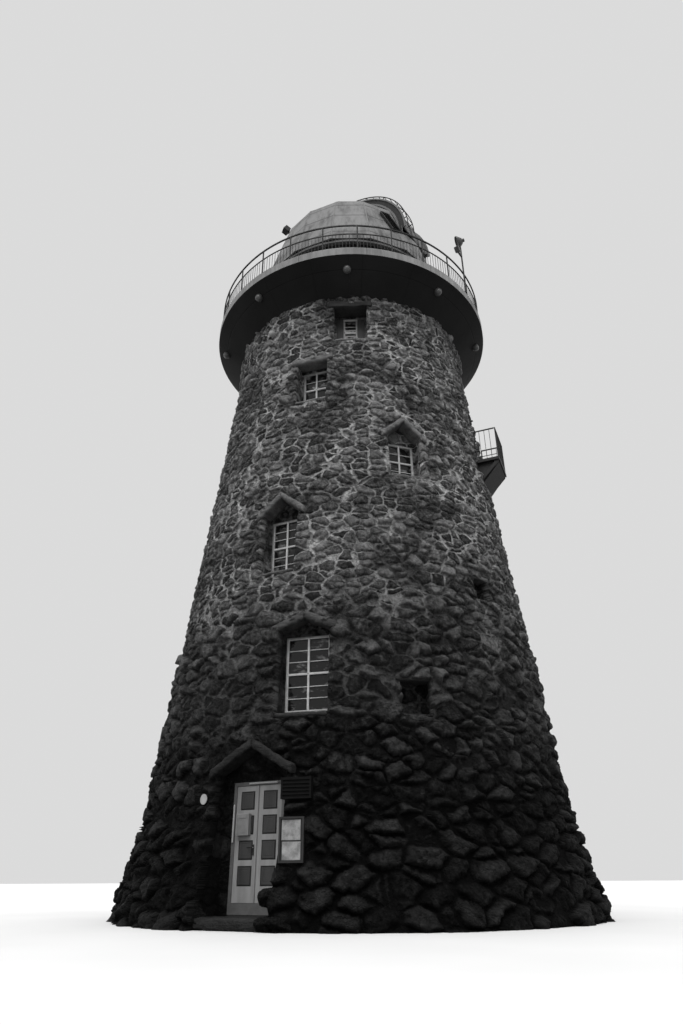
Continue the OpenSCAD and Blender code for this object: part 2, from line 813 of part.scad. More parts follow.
module track_rollers() {
    color([0.25, 0.25, 0.25]) {
        for (i = [0 : rollers - 1]) {
            rotate([0, 0, 15 + 30 * i]) translate([0, -drum_r + 40, ring_z + ring_h + 15 + roller_r])
                rotate([-90, 0, 0]) union() {
                    translate([0, 0, 0]) cylinder(r = roller_r, h = roller_w);
                    translate([0, 0, -30]) cylinder(r = 15, h = 32);
                }
        }
    }
}

// Corner rings of the dome from skirt to crown, as [radius, height]
function dome_rings(inset) = concat(
    [[skirt_r - inset * 1.06, skirt_z], [dome_r + 40 - inset * 1.06, spring_z]],
    [for (a = [25, 48, 70]) [(dome_r - inset * 1.04) * cos(a), dome_z0 + (dome_r - inset * 1.04) * sin(a)]],
    [[300 - inset, dome_z0 + (dome_r - inset * 1.04) * sin(84)]]
);

// Closed many-sided solid through a list of corner rings
module faceted_dome(rings) {
    n = dome_sides;
    pts = [for (r = rings) for (i = [0 : n - 1])
        [r[0] * sin(dome_az + i * 360 / n), -r[0] * cos(dome_az + i * 360 / n), r[1]]];
    last = len(rings) - 1;
    sides = [for (k = [0 : last - 1]) for (i = [0 : n - 1])
        [k * n + i, (k + 1) * n + i, (k + 1) * n + (i + 1) % n, k * n + (i + 1) % n]];
    polyhedron(pts, concat([[for (i = [0 : n - 1]) i]], sides, [[for (i = [n - 1 : -1 : 0]) last * n + i]]));
}

// Arcs in planes along the slit: profile in radius and side offset, swept between two angles above level
module slit_arc(from_e, to_e) {
    rotate([0, 0, slit_az]) translate([0, 0, dome_z0]) rotate([90, 0, -90])
        rotate([0, 0, from_e]) rotate_extrude(angle = to_e - from_e, $fn = 144) children();
}

module slit_box(width) {
    rotate([0, 0, slit_az]) translate([-width / 2, -past, spring_z]) cube([width, past + 700, 4000]);
}

// One facet of the shell between two bearings: a thick plate bent at every ring it crosses
module gore(from_az, to_az, outer, inner) {
    last = len(outer) - 1;
    corners = [for (az = [from_az, to_az]) for (list = [outer, inner]) for (r = list)
        [r[0] * sin(az), -r[0] * cos(az), r[1]]];
    n = last + 1;
    strips = [for (k = [0 : last - 1]) for (f = [
        [k, 2 * n + k, 2 * n + k + 1, k + 1],
        [n + k, n + k + 1, 3 * n + k + 1, 3 * n + k],
        [k, k + 1, n + k + 1, n + k],
        [2 * n + k, 3 * n + k, 3 * n + k + 1, 2 * n + k + 1],
    ]) f];
    polyhedron(corners, concat(strips, [[0, n, 3 * n, 2 * n], [last, 2 * n + last, 3 * n + last, n + last]]));
}

module gores(outer, inner) {
    step = 360 / dome_sides;
    for (i = [0 : dome_sides - 1]) {
        gore(dome_az + i * step + joint_deg / 2, dome_az + (i + 1) * step - joint_deg / 2, outer, inner);
    }
}

// A ring of panels starts a hairline above the one below it
function lifted(list) = [for (k = [0 : len(list) - 1]) [list[k][0], list[k][1] + (k == 0 ? fit : 0)]];

// Skirt panels, then two tiers of bent panels cut through by the slit
module dome_shell() {
    o = dome_rings(0);
    i = dome_rings(shell_t);
    color([0.52, 0.52, 0.51]) {
        gores([o[0], o[1]], [i[0], i[1]]);
        difference() {
            union() {
                gores(lifted([o[1], o[2], o[3]]), lifted([i[1], i[2], i[3]]));
                gores(lifted([o[3], o[4], o[5]]), lifted([i[3], i[4], i[5]]));
            }
            slit_box(slit_w);
        }
    }
}

// Sixteen straight bars that run on the rollers inside the skirt
module dome_rail() {
    step = 360 / dome_sides;
    fall = (skirt_r - dome_r - 40) / skirt_h;
    top_r = skirt_r - shell_t * 1.06 - fall * (rail_z + 60 - skirt_z) - fit;
    low_r = drum_r - drum_t + 75;
    color([0.3, 0.3, 0.3]) {
        for (i = [0 : dome_sides - 1]) {
            rotate([0, 0, dome_az + i * step]) translate([0, 0, rail_z]) linear_extrude(height = 60)
                polygon([for (p = [[low_r, 0.004], [top_r, 0.004], [top_r, step - 0.004], [low_r, step - 0.004]])
                    [p[0] * sin(p[1]), -p[0] * cos(p[1])]]);
        }
    }
}

// Arched girders: a web with a broad lower flange and a narrower upper one, cut to sit on the shell
module slit_girders() {
    color([0.38, 0.38, 0.38]) difference() {
        for (side = [-1, 1]) {
            slit_arc(1, 118) polygon([
                [dome_r - 450, side * girder_x],
                [girder_out, side * girder_x],
                [girder_out, side * (girder_x + girder_t)],
                [girder_out - 60, side * (girder_x + girder_t)],
                [girder_out - 60, side * (girder_x + 20)],
                [girder_out - girder_d + 70, side * (girder_x + 20)],
                [girder_out - girder_d + 70, side * (girder_x + girder_t + 20)],
                [girder_out - girder_d, side * (girder_x + girder_t + 20)],
                [girder_out - girder_d, side * (girder_x + 20)],
                [dome_r - 450, side * (girder_x + 20)],
            ]);
        }
        faceted_dome(dome_rings(-fit));
    }
}

// Four curved leaves, each a plate with four ribs, closed end to end between the girders
module slit_shutter() {
    inner = dome_r + 15;
    half = girder_x - fit;
    first_e = 3.2;
    leaf_e = (112 - first_e) / 4;
    color([0.46, 0.46, 0.46]) {
        for (i = [0 : 3]) {
            slit_arc(first_e + i * leaf_e, first_e + (i + 1) * leaf_e - 0.01)
                polygon([
                    [inner, -half], [inner, half], [inner + 90, half], [inner + 90, half - 40],
                    [inner + 40, half - 40], [inner + 40, 250], [inner + 90, 250], [inner + 90, 210],
                    [inner + 40, 210], [inner + 40, -210], [inner + 90, -210], [inner + 90, -250],
                    [inner + 40, -250], [inner + 40, 40 - half], [inner + 90, 40 - half], [inner + 90, -half],
                ]);
        }
    }
}

// Four bolted sections of ladder, each with its rungs and a pair of stand-offs on the girder and the shutter
module dome_ladder() {
    rail_out = girder_out + 90;
    near_x = girder_x + 24;
    far_x = near_x - 400;
    top_e = 72;
    part_e = top_e / 4;
    color([0.15, 0.15, 0.15]) {
        for (i = [0 : 3]) {
            union() {
                for (x = [near_x, far_x]) {
                    slit_arc(i * part_e + 0.005, (i + 1) * part_e - 0.005)
                        translate([rail_out - 14, x - 14]) square([28, 28]);
                }
                for (e = [i * part_e + 3 : 6 : (i + 1) * part_e - 2]) {
                    rotate([0, 0, slit_az]) translate([0, 0, dome_z0]) rotate([-e, 0, 0])
                        translate([-near_x, -rail_out, 0]) rotate([0, 90, 0])
                            cylinder(r = 11, h = near_x - far_x, $fn = 6);
                }
                rotate([0, 0, slit_az]) translate([0, 0, dome_z0]) rotate([-(i + 0.5) * part_e, 0, 0]) {
                    translate([-near_x - 12, -rail_out, -12]) cube([24, rail_out - girder_out - fit, 24]);
                    translate([-far_x - 12, -rail_out, -12]) cube([24, rail_out - dome_r - 55 - 2 * fit, 24]);
                }
            }
        }
    }
}

module dome_vent() {
    color([0.25, 0.25, 0.25]) rotate([0, 0, -66.65]) difference() {
        translate([0, 0, dome_z0]) rotate([-32, 0, 0]) union() {
            translate([0, -dome_r * 0.9, 0]) rotate([90, 0, 0]) cylinder(r = 45, h = 440);
            translate([-130, -dome_r - 330, -110]) cube([260, 210, 220]);
        }
        rotate([0, 0, 66.65]) faceted_dome(dome_rings(-fit));
    }
}

// The solid bulk of the wall near ground level, to fit the fixings against
module bulk(lo, hi) {
    rotate_extrude($fn = 720) polygon([[0, lo], [wall_r(lo) + fit, lo], [wall_r(hi) + fit, hi], [0, hi]]);
}

module notice_board() {
    az = -12.9;
    plane = wall_r(1060) + 5;
    color([0.5, 0.5, 0.5]) difference() {
        union() {
            outward(az, plane, plane + 60) translate([-240, 1060]) square([480, 760]);
            for (z = [1180, 1640]) outward(az, wall_r(z) - 60, plane + 10) translate([-30, z]) square([60, 40]);
        }
        outward(az, plane + 30, plane + 61) translate([-205, 1095]) square([410, 690]);
        bulk(900, 1890);
    }
}

module louvre_box() {
    az = -12.6;
    plane = wall_r(2140) + 20;
    color([0.16, 0.16, 0.16]) difference() {
        union() {
            outward(az, plane, plane + 150) translate([-300, 2140]) square([600, 380]);
            for (x = [-220, 160]) {
                outward(az, wall_r(2300) - 120, plane + 10) translate([x, 2290]) square([60, 60]);
            }
        }
        for (i = [0 : 4]) {
            outward(az, plane + 120, plane + 151) translate([-265, 2175 + 66 * i]) square([530, 34]);
        }
        bulk(2000, 2700);
    }
}

module wall_disc() {
    az = -36.9;
    color([0.85, 0.85, 0.83]) difference() {
        union() {
            outward(az, wall_r(2240) + 40, wall_r(2240) + 48) translate([0, 2240]) circle(r = 100);
            outward(az, wall_r(2240) - 60, wall_r(2240) + 42) translate([0, 2240]) circle(r = 20);
        }
        bulk(2000, 2500);
    }
}

wall_1();
door_head();
wall_2();
wall_3();
wall_4();
wall_5();
wall_6();
porch_slabs();
window_slabs();
window_sills();
window_frames();
window_glass();
window_boarding();
door_frame();
door_leaf_left();
door_leaf_right();
door_step();
ground_floor();
upper_floors();
gallery_collar();
gallery_slab();
gallery_railing();
soffit_lamps();
lamp_mast();
mast_floodlights();
balcony_platform();
balcony_railing();
balcony_door();
drum_wall();
drum_door();
track_ring();
track_rollers();
dome_shell();
dome_rail();
slit_girders();
slit_shutter();
dome_ladder();
dome_vent();
notice_board();
louvre_box();
wall_disc();
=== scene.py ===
import json
import math

import bmesh
import bpy
from mathutils import Matrix, Vector

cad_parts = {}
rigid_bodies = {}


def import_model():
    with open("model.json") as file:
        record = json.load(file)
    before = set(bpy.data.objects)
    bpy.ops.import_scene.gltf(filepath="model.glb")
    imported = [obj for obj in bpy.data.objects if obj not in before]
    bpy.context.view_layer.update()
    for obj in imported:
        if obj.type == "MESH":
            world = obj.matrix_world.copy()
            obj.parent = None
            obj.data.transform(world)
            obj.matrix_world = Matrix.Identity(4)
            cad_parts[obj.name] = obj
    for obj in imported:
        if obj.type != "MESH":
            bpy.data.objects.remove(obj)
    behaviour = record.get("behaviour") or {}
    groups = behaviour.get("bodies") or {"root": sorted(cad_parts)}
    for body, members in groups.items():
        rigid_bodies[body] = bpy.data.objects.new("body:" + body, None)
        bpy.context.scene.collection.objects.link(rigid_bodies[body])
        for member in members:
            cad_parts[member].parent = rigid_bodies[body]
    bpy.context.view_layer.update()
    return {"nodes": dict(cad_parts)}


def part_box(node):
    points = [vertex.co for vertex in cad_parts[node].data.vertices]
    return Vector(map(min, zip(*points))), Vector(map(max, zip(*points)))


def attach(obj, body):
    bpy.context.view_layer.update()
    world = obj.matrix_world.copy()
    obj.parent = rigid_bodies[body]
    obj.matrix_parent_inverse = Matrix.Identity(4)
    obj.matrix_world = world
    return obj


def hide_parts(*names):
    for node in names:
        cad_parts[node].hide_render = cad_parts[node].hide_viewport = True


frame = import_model()
cad = frame["nodes"]

# Rubble wall
# Field stones and quarried boulders bedded in lime mortar, on a battered wall with a flared foot.
# The stones are wider than high, large at the foot and smaller higher up, and the mortar stands in pale
# ribbons between them. Stones and mortar run from near black at the foot to paler higher up, partly their own
# tone and partly painted shade at the foot.
foot_top = 1.9
neck_z = 15.2
skin_top = 16.5
course_z = [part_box(f"wall_{k}")[0].z for k in range(1, 7)] + [skin_top]
base_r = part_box("wall_1")[1].x
batter = (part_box("wall_3")[1].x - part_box("wall_2")[1].x) / (course_z[2] - course_z[1])
foot_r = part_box("wall_2")[1].x - batter * (course_z[1] - foot_top)
neck_r = foot_r + batter * (neck_z - foot_top)


def wall_radius(z):
    if z < foot_top:
        return base_r + (foot_r - base_r) * z / foot_top
    return foot_r + batter * (min(z, neck_z) - foot_top)


class Wire:
    """A socket in a node tree, so that maths on surfaces and meshes reads as an expression."""

    def __init__(self, tree, socket=None):
        self.tree, self.socket = tree, socket

    def node(self, kind, settings=None, sockets=None, result=0):
        made = self.tree.nodes.new(kind)
        for name, value in (settings or {}).items():
            setattr(made, name, value)
        for key, value in (sockets or {}).items():
            if isinstance(value, Wire):
                self.tree.links.new(value.socket, made.inputs[key])
            else:
                made.inputs[key].default_value = value
        return Wire(self.tree, made.outputs[result])

    def maths(self, operation, *others):
        return self.node("ShaderNodeMath", {"operation": operation}, dict(enumerate((self, *others))))

    def __add__(self, other):
        return self.maths("ADD", other)

    def __sub__(self, other):
        return self.maths("SUBTRACT", other)

    def __rsub__(self, other):
        return self.node("ShaderNodeMath", {"operation": "SUBTRACT"}, {0: other, 1: self})

    def __mul__(self, other):
        return self.maths("MULTIPLY", other)

    def __truediv__(self, other):
        return self.maths("DIVIDE", other)

    def __pow__(self, other):
        return self.maths("POWER", other)

    __radd__ = __add__
    __rmul__ = __mul__

    def rise(self, low, high):
        """0 below low, 1 above high, smooth between."""
        smooth = {"interpolation_type": "SMOOTHSTEP"}
        return self.node("ShaderNodeMapRange", smooth, {0: self, 1: low, 2: high, 3: 0, 4: 1})

    def mixed(self, low, high):
        """low where this is 0, high where it is 1, as numbers."""
        return self.node("ShaderNodeMix", {"data_type": "FLOAT"}, {0: self, 2: low, 3: high})

    def grey(self, dark, light):
        """A grey between two, dark where this is 0."""
        return self.node(
            "ShaderNodeMix",
            {"data_type": "RGBA"},
            {0: self, 6: (dark, dark, dark, 1), 7: (light, light, light, 1)},
            2,
        )

    def stretched(self, x, y, z):
        return self.node("ShaderNodeVectorMath", {"operation": "MULTIPLY"}, {0: self, 1: (x, y, z)})

    def moved(self, other):
        return self.node("ShaderNodeVectorMath", {"operation": "ADD"}, {0: self, 1: other})

    def part(self, axis):
        return self.node("ShaderNodeSeparateXYZ", {}, {0: self}, axis)

    def along(self, x, y, z):
        """How far this place lies in a direction."""
        return self.node("ShaderNodeVectorMath", {"operation": "DOT_PRODUCT"}, {0: self, 1: (x, y, z)}, 1)

    def beside(self, result):
        """Another result of the node that this one comes from."""
        return Wire(self.tree, self.socket.node.outputs[result])

    def noise(self, scale, detail=2.0, rough=0.5, result=0):
        sockets = {"Vector": self, "Scale": scale, "Detail": detail, "Roughness": rough}
        return self.node("ShaderNodeTexNoise", {}, sockets, result)

    def shaken(self, scale, detail=2.0, rough=0.5):
        """A noise of directions about nought, for moving this place."""
        return self.noise(scale, detail, rough, 1).moved((-0.5, -0.5, -0.5))


def cells(place, wide, high):
    """Stones of about this size: distance to the joint, chance values of each, and how its face is tilted."""
    cell = place.stretched(1 / wide, 1 / wide, 1 / high)
    sockets = {"Vector": cell, "Scale": 1.0, "Randomness": 0.95}
    edge = cell.node("ShaderNodeTexVoronoi", {"feature": "DISTANCE_TO_EDGE"}, sockets)
    stone = cell.node("ShaderNodeTexVoronoi", {"feature": "F1"}, sockets, 1)
    lean = cell.node("ShaderNodeVectorMath", {"operation": "SUBTRACT"}, {0: cell, 1: stone.beside(2)})
    tilt = lean.part(2) * (stone.part(1) - 0.5) + lean.part(0) * (stone.part(2) - 0.5)
    return edge, stone, tilt


# What is fixed on the wall: its bearing, its height, and half its width and height
fixture_beds = {
    "notice_board": (-12.9, 1.44, 0.27, 0.42),
    "louvre_box": (-12.6, 2.33, 0.33, 0.22),
    "wall_disc": (-36.9, 2.24, 0.12, 0.12),
    "wall_lamp": (-40.5, 15.86, 0.14, 0.14),
}


def beside_fixture(place):
    """1 where a board, box, disc or lamp is fixed on the wall, so that no stone stands through it."""
    inside = None
    for az, z, half_w, half_h in fixture_beds.values():
        turn = math.radians(az)
        across = place.along(math.cos(turn), math.sin(turn), 0)
        out = place.along(math.sin(turn), -math.cos(turn), 0)
        wide = across.maths("ABSOLUTE") / half_w
        high = (place.part(2) - z).maths("ABSOLUTE") / half_h
        here = wide.maths("MAXIMUM", high).rise(1.35, 1.0) * out.rise(0.0, 0.1)
        inside = here if inside is None else inside.maths("MAXIMUM", here)
    return inside


# Width and height of the stones in metres, and about how high the two larger kinds reach
boulder_size, middling_size, small_size = (0.66, 0.37), (0.5, 0.31), (0.37, 0.235)
boulders_to, middling_to = 2.7, 7.4


def masonry(place):
    """How far the rubble stands out, where it is stone, each stone's chance, the fill and the joints."""
    up = place.part(2)
    wander = place.shaken(2.3).stretched(0.22, 0.22, 0.2)
    chips = place.shaken(8.0).stretched(0.07, 0.07, 0.06)
    bent = place.moved(wander).moved(chips)
    boulders = cells(bent, *boulder_size)
    middling = cells(bent.moved((3.1, 1.7, 0.4)), *middling_size)
    small = cells(bent.moved((7.7, 5.2, 1.9)), *small_size)
    foot_line = up + place.noise(0.9, 1.0) * 1.3 - boulders_to
    top_line = up + place.noise(0.7, 1.0) * 2.4 - middling_to
    over_foot = foot_line.rise(-0.01, 0.01)
    over_top = top_line.rise(-0.01, 0.01)

    def by_height(low, middle, top):
        return over_top.mixed(over_foot.mixed(low, middle), top)

    joint = by_height(boulders[0], middling[0], small[0])
    for line in (foot_line, top_line):
        joint = joint.maths("MINIMUM", line.maths("ABSOLUTE") * 2.0)
    joint = joint + (place.noise(3.6, 2.0) - 0.5) * 0.15 + (place.noise(14.0, 3.0, 0.6) - 0.5) * 0.06
    chance = by_height(boulders[1].part(0), middling[1].part(0), small[1].part(0))
    tilt = by_height(boulders[2], middling[2], small[2])
    fill = place.noise(0.8, 2.0).rise(0.4, 0.58) * by_height(0.1, 0.75, 1.0)
    solid = joint.rise(0.035, 0.11)
    swell = 1 - (1 - (joint / 0.27).maths("MINIMUM", 1.0)) ** 2.4
    rough = (place.noise(5.5, 4.0, 0.65) - 0.5) * over_foot.mixed(1.5, 1.0)
    proud = by_height(0.175, 0.15, 0.1)
    face = swell * (chance * 0.6 + 0.42) + tilt * 1.2 + rough * 0.85 - crease(place, 2.6) * 0.2
    relief = solid * face * proud + fill * 0.03 * (1 - solid * 0.4) + 0.006
    relief = relief * (1 - beside_fixture(place))
    return relief.maths("MAXIMUM", 0.004), solid, chance, fill, joint


def crease(place, scale):
    """1 in the folds of a noise: sharp valleys between broken faces."""
    wave = place.noise(scale, 3.0, 0.55) - 0.5
    return 1 - (wave.maths("ABSOLUTE") * 24.0).rise(0.0, 1.0)


def outwards(place):
    flat = place.stretched(1, 1, 0)
    return flat.node("ShaderNodeVectorMath", {"operation": "NORMALIZE"}, {0: flat})


def mesh_recipe(name, shape):
    """A Geometry Nodes group that moves each point by what shape(place) gives, and keeps where it was."""
    tree = bpy.data.node_groups.new(name, "GeometryNodeTree")
    tree.interface.new_socket("Mesh", in_out="INPUT", socket_type="NodeSocketGeometry")
    tree.interface.new_socket("Mesh", in_out="OUTPUT", socket_type="NodeSocketGeometry")
    given = tree.nodes.new("NodeGroupInput")
    made = tree.nodes.new("NodeGroupOutput")
    place = Wire(tree).node("GeometryNodeInputPosition")
    kept = place.node(
        "GeometryNodeStoreNamedAttribute",
        {"data_type": "FLOAT_VECTOR", "domain": "POINT"},
        {"Geometry": Wire(tree, given.outputs[0]), "Name": "bed_place", "Value": place},
    )
    moved = place.node("GeometryNodeSetPosition", {}, {"Geometry": kept, "Offset": shape(place)})
    tree.links.new(moved.socket, made.inputs[0])
    return tree


def deselect():
    if bpy.context.object and bpy.context.object.mode != "OBJECT":
        bpy.ops.object.mode_set(mode="OBJECT")
    bpy.ops.object.select_all(action="DESELECT")


def only(piece):
    deselect()
    piece.select_set(True)
    bpy.context.view_layer.objects.active = piece


def apply_modifier(piece, kind, **settings):
    only(piece)
    modifier = piece.modifiers.new(kind.lower(), kind)
    for name, value in settings.items():
        setattr(modifier, name, value)
    bpy.ops.object.modifier_apply(modifier=modifier.name)


def pick(piece, kind, test):
    """Selects, in edit mode, just the faces or edges whose middle passes the test."""
    bpy.ops.mesh.select_mode(type="FACE" if kind == "faces" else "EDGE")
    bpy.ops.mesh.select_all(action="DESELECT")
    mesh = bmesh.from_edit_mesh(piece.data)
    for item in getattr(mesh, kind):
        middle = item.calc_center_median() if kind == "faces" else (item.verts[0].co + item.verts[1].co) / 2
        if test(middle, item):
            item.select_set(True)
    mesh.select_flush_mode()
    bmesh.update_edit_mesh(piece.data)


def settle(piece, body, material, name):
    """Gives a finished piece its place in its mesh, its name, its finish and its body."""
    only(piece)
    bpy.ops.object.transform_apply(location=True, rotation=True, scale=True)
    piece.name = name
    piece.data.name = name
    piece.data.materials.clear()
    piece.data.materials.append(material)
    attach(piece, body)
    return piece


def finish(name, paint):
    """A material whose Principled shader gets the sockets that paint(place) returns."""
    material = bpy.data.materials.new(name)
    material.use_nodes = True
    tree = material.node_tree
    shader = tree.nodes["Principled BSDF"]
    place = Wire(tree).node("ShaderNodeTexCoord", result=3)
    for key, value in paint(place).items():
        if isinstance(value, Wire):
            tree.links.new(value.socket, shader.inputs[key])
        else:
            shader.inputs[key].default_value = value
    return material


def bumped(place, height, distance):
    return place.node("ShaderNodeBump", {}, {"Strength": 1.0, "Distance": distance, "Height": height})


def rubble(place, shine):
    relief, solid, chance, fill, joint = masonry(place)
    up = place.part(2)
    # Stones and mortar run from near black at the foot to paler higher up. This is partly their own tone and
    # partly painted shade at the foot.
    high = up.rise(1.0, 11.5)
    grain = place.noise(12.0, 6.0, 0.72)
    patch = place.noise(4.2, 4.0, 0.65)
    weather = place.noise(0.55, 2.0)
    shade = chance * 0.7 + (grain - 0.5) * 1.9 + (patch - 0.5) * 1.3 + 0.1
    stone_dark = high.mixed(0.003, 0.02)
    stone_pale = high.mixed(0.034, 0.42)
    stone = stone_dark + shade.rise(0.0, 1.25) * (stone_pale - stone_dark)
    # Mortar where a joint is unfilled is painted dark, and each stone darkens next to its joints. Both are
    # painted shade in the crevices.
    mortar = up.rise(2.2, 10.0).mixed(0.015, 0.72) * (fill * 0.8 + 0.2) * (grain.rise(0.3, 0.7) * 0.7 + 0.3)
    deep = joint.rise(0.26, 0.09) * solid * 0.4
    tone = solid.mixed(mortar, stone * (1 - deep)) * (weather * 0.8 + 0.6)
    broken = crease(place, 6.0) * 0.35 + crease(place, 15.0) * 0.15
    fine = grain * 1.1 + place.noise(60.0, 4.0, 0.65) * 0.15 + solid * 0.4 - broken
    return {
        "Base Color": tone.grey(0.0, 1.0),
        "Roughness": solid.mixed(0.95, 0.72) - grain * 0.12,
        "Normal": bumped(place, fine, 0.09),
        "Specular IOR Level": shine,
    }


def bed(place):
    return place.node("ShaderNodeAttribute", {"attribute_name": "bed_place"}, {}, 1)


rubble_wall = finish("rubble", lambda place: rubble(place, 0.12))
rubble_face = finish("rubble_face", lambda place: rubble(bed(place), 0.22))
rubble_foot = finish("rubble_foot", lambda place: rubble(bed(place), 0.1))
for name in ("wall_1", "door_head", "wall_2", "wall_3", "wall_4", "wall_5", "wall_6"):
    cad[name].data.materials.clear()
    cad[name].data.materials.append(rubble_wall)

# Openings through the stones' face: windows under a gable of slabs or a flat lintel, niches, the
# entrance and the balcony's door. Each outline is convex, in metres across and up. A window is given
# by its bearing, width, height, sill and gable's rise, and a niche by the first four of them.
reveal = 0.06
slab_t = 0.19
sill_t = 0.2
windows = [
    (-13.3, 1.02, 1.66, 3.9, 0.23),
    (-23.8, 0.85, 1.47, 7.31, 0.4),
    (19.0, 0.8, 1.12, 9.98, 0.43),
    (-16.5, 0.78, 1.25, 12.6, 0.0),
    (0.0, 0.86, 1.1, 14.87, 0.0),
]
windows += [(az + 180, w, h, z, rise) for az, w, h, z, rise in windows]
niches = [(14.6, 0.66, 0.64, 3.8), (41.4, 0.5, 0.46, 6.76), (28.5, 0.17, 0.27, 14.9)]
door_az = -24.5
porch_half, porch_low, porch_eaves, porch_rise = 0.8, -0.1, 2.68, 0.47
balcony_az = 68.8
balcony_floor = 11.6
balcony_door_half, balcony_door_top = 0.38, 13.55


def gable(half, low, eaves, rise):
    head = eaves + slab_t / 2
    return [(-half, low), (half, low), (half, head), (0, head + rise), (-half, head)]


outlines = [(az, gable(w / 2 + reveal, z - sill_t, z + h + reveal, rise)) for az, w, h, z, rise in windows]
outlines += [(az, gable(w / 2, z - sill_t / 2, z + h - slab_t / 4, 0)) for az, w, h, z in niches]
outlines.append((door_az, gable(porch_half, porch_low, porch_eaves, porch_rise)))
outlines.append((balcony_az, gable(balcony_door_half, balcony_floor, balcony_door_top - slab_t / 2, 0)))


def cut_outline(skin, az, outline):
    turn = Matrix.Rotation(math.radians(az), 3, "Z")
    across, out = turn @ Vector((1, 0, 0)), turn @ Vector((0, -1, 0))
    wide = max(abs(u) for u, z in outline) + 0.3
    low, high = min(z for u, z in outline) - 0.3, max(z for u, z in outline) + 0.3
    edges = list(zip(outline, outline[1:] + outline[:1]))

    def near(middle, item):
        return middle.dot(out) > 0 and abs(middle.dot(across)) < wide and low < middle.z < high

    def inside(middle, item):
        u = middle.dot(across)
        return near(middle, item) and all(
            (q[0] - p[0]) * (middle.z - p[1]) - (q[1] - p[1]) * (u - p[0]) > -1e-6 for p, q in edges
        )

    for p, q in edges:
        pick(skin, "faces", near)
        side = across * (q[1] - p[1]) - Vector((0, 0, q[0] - p[0]))
        if side.length > 1e-6:
            corner = across * p[0] + Vector((0, 0, p[1]))
            bpy.ops.mesh.bisect(plane_co=corner, plane_no=side.normalized())
    pick(skin, "faces", inside)
    bpy.ops.mesh.delete(type="FACE")


def stones_outwards(place):
    scaled = {0: outwards(place), "Scale": masonry(place)[0]}
    return place.node("ShaderNodeVectorMath", {"operation": "SCALE"}, scaled)


stone_relief = mesh_recipe("stone_relief", stones_outwards)
cell = 0.15
edge_return = 0.968
for k in range(6):
    low, high = course_z[k], course_z[k + 1]
    around = round(2 * math.pi * wall_radius((low + high) / 2) / cell)
    deselect()
    bands = [low] + [z for z in (foot_top, neck_z) if low < z < high] + [high]
    for bottom, top in zip(bands, bands[1:]):
        bpy.ops.mesh.primitive_cone_add(
            vertices=around,
            radius1=wall_radius(bottom),
            radius2=wall_radius(top),
            depth=top - bottom,
            end_fill_type="NOTHING",
            location=(0, 0, (bottom + top) / 2),
        )
        bpy.ops.object.transform_apply(location=True)
        band = bpy.context.object
        bpy.ops.object.mode_set(mode="EDIT")
        pick(band, "edges", lambda middle, item: abs(item.verts[0].co.z - item.verts[1].co.z) > 0.01)
        bpy.ops.mesh.subdivide(number_cuts=max(1, round((top - bottom) / cell) - 1))
        bpy.ops.object.mode_set(mode="OBJECT")
    courses = [o for o in bpy.context.scene.objects if o.name.startswith("Cone")]
    for band in courses:
        band.select_set(True)
    if len(courses) > 1:
        bpy.ops.object.join()
    skin = bpy.context.object
    bpy.ops.object.mode_set(mode="EDIT")
    bpy.ops.mesh.select_all(action="SELECT")
    bpy.ops.mesh.remove_doubles(threshold=0.0005)
    for az, outline in outlines:
        if min(z for u, z in outline) < high and max(z for u, z in outline) > low:
            cut_outline(skin, az, outline)
    bpy.ops.object.mode_set(mode="OBJECT")
    apply_modifier(skin, "SUBSURF", subdivision_type="SIMPLE", levels=2, render_levels=2)
    apply_modifier(skin, "NODES", node_group=stone_relief)
    bpy.ops.object.mode_set(mode="EDIT")
    bpy.ops.mesh.select_mode(type="EDGE")
    bpy.ops.mesh.select_all(action="DESELECT")
    bpy.ops.mesh.select_non_manifold(
        extend=False, use_wire=False, use_multi_face=False, use_non_contiguous=False, use_verts=False
    )
    bpy.ops.mesh.extrude_edges_move()
    bpy.ops.transform.resize(value=(edge_return, edge_return, 1), center_override=(0, 0, 0))
    bpy.ops.mesh.select_mode(type="FACE")
    bpy.ops.object.mode_set(mode="OBJECT")
    bpy.ops.object.shade_smooth()
    settle(skin, "tower", rubble_foot if k == 0 else rubble_face, f"stones_{k + 1}")

# Foot boulders
# Quarried boulders stand half out of the wall's foot with their broken faces outwards. One of them
# stands into the entrance's recess on its right side.
def noise_shift(scale, reach):
    """Moves each point by a noise of this scale, up to reach in each direction."""
    return lambda place: place.shaken(scale, 3.0, 0.6).stretched(reach, reach, reach)


def at(az, u, out, z):
    """The place u across, out from the axis and z up, at a bearing."""
    return Matrix.Rotation(math.radians(az), 4, "Z") @ Matrix.Translation((u, -out, z))


def copy_at(piece, place):
    """A copy with its own mesh, moved to a place."""
    made = piece.copy()
    made.data = piece.data.copy()
    made.data.transform(place)
    bpy.context.scene.collection.objects.link(made)
    return made


def gather(pieces):
    deselect()
    for piece in pieces:
        piece.select_set(True)
    bpy.context.view_layer.objects.active = pieces[0]
    bpy.ops.object.join()
    return bpy.context.object


def discard(*pieces):
    for piece in pieces:
        bpy.data.objects.remove(piece)


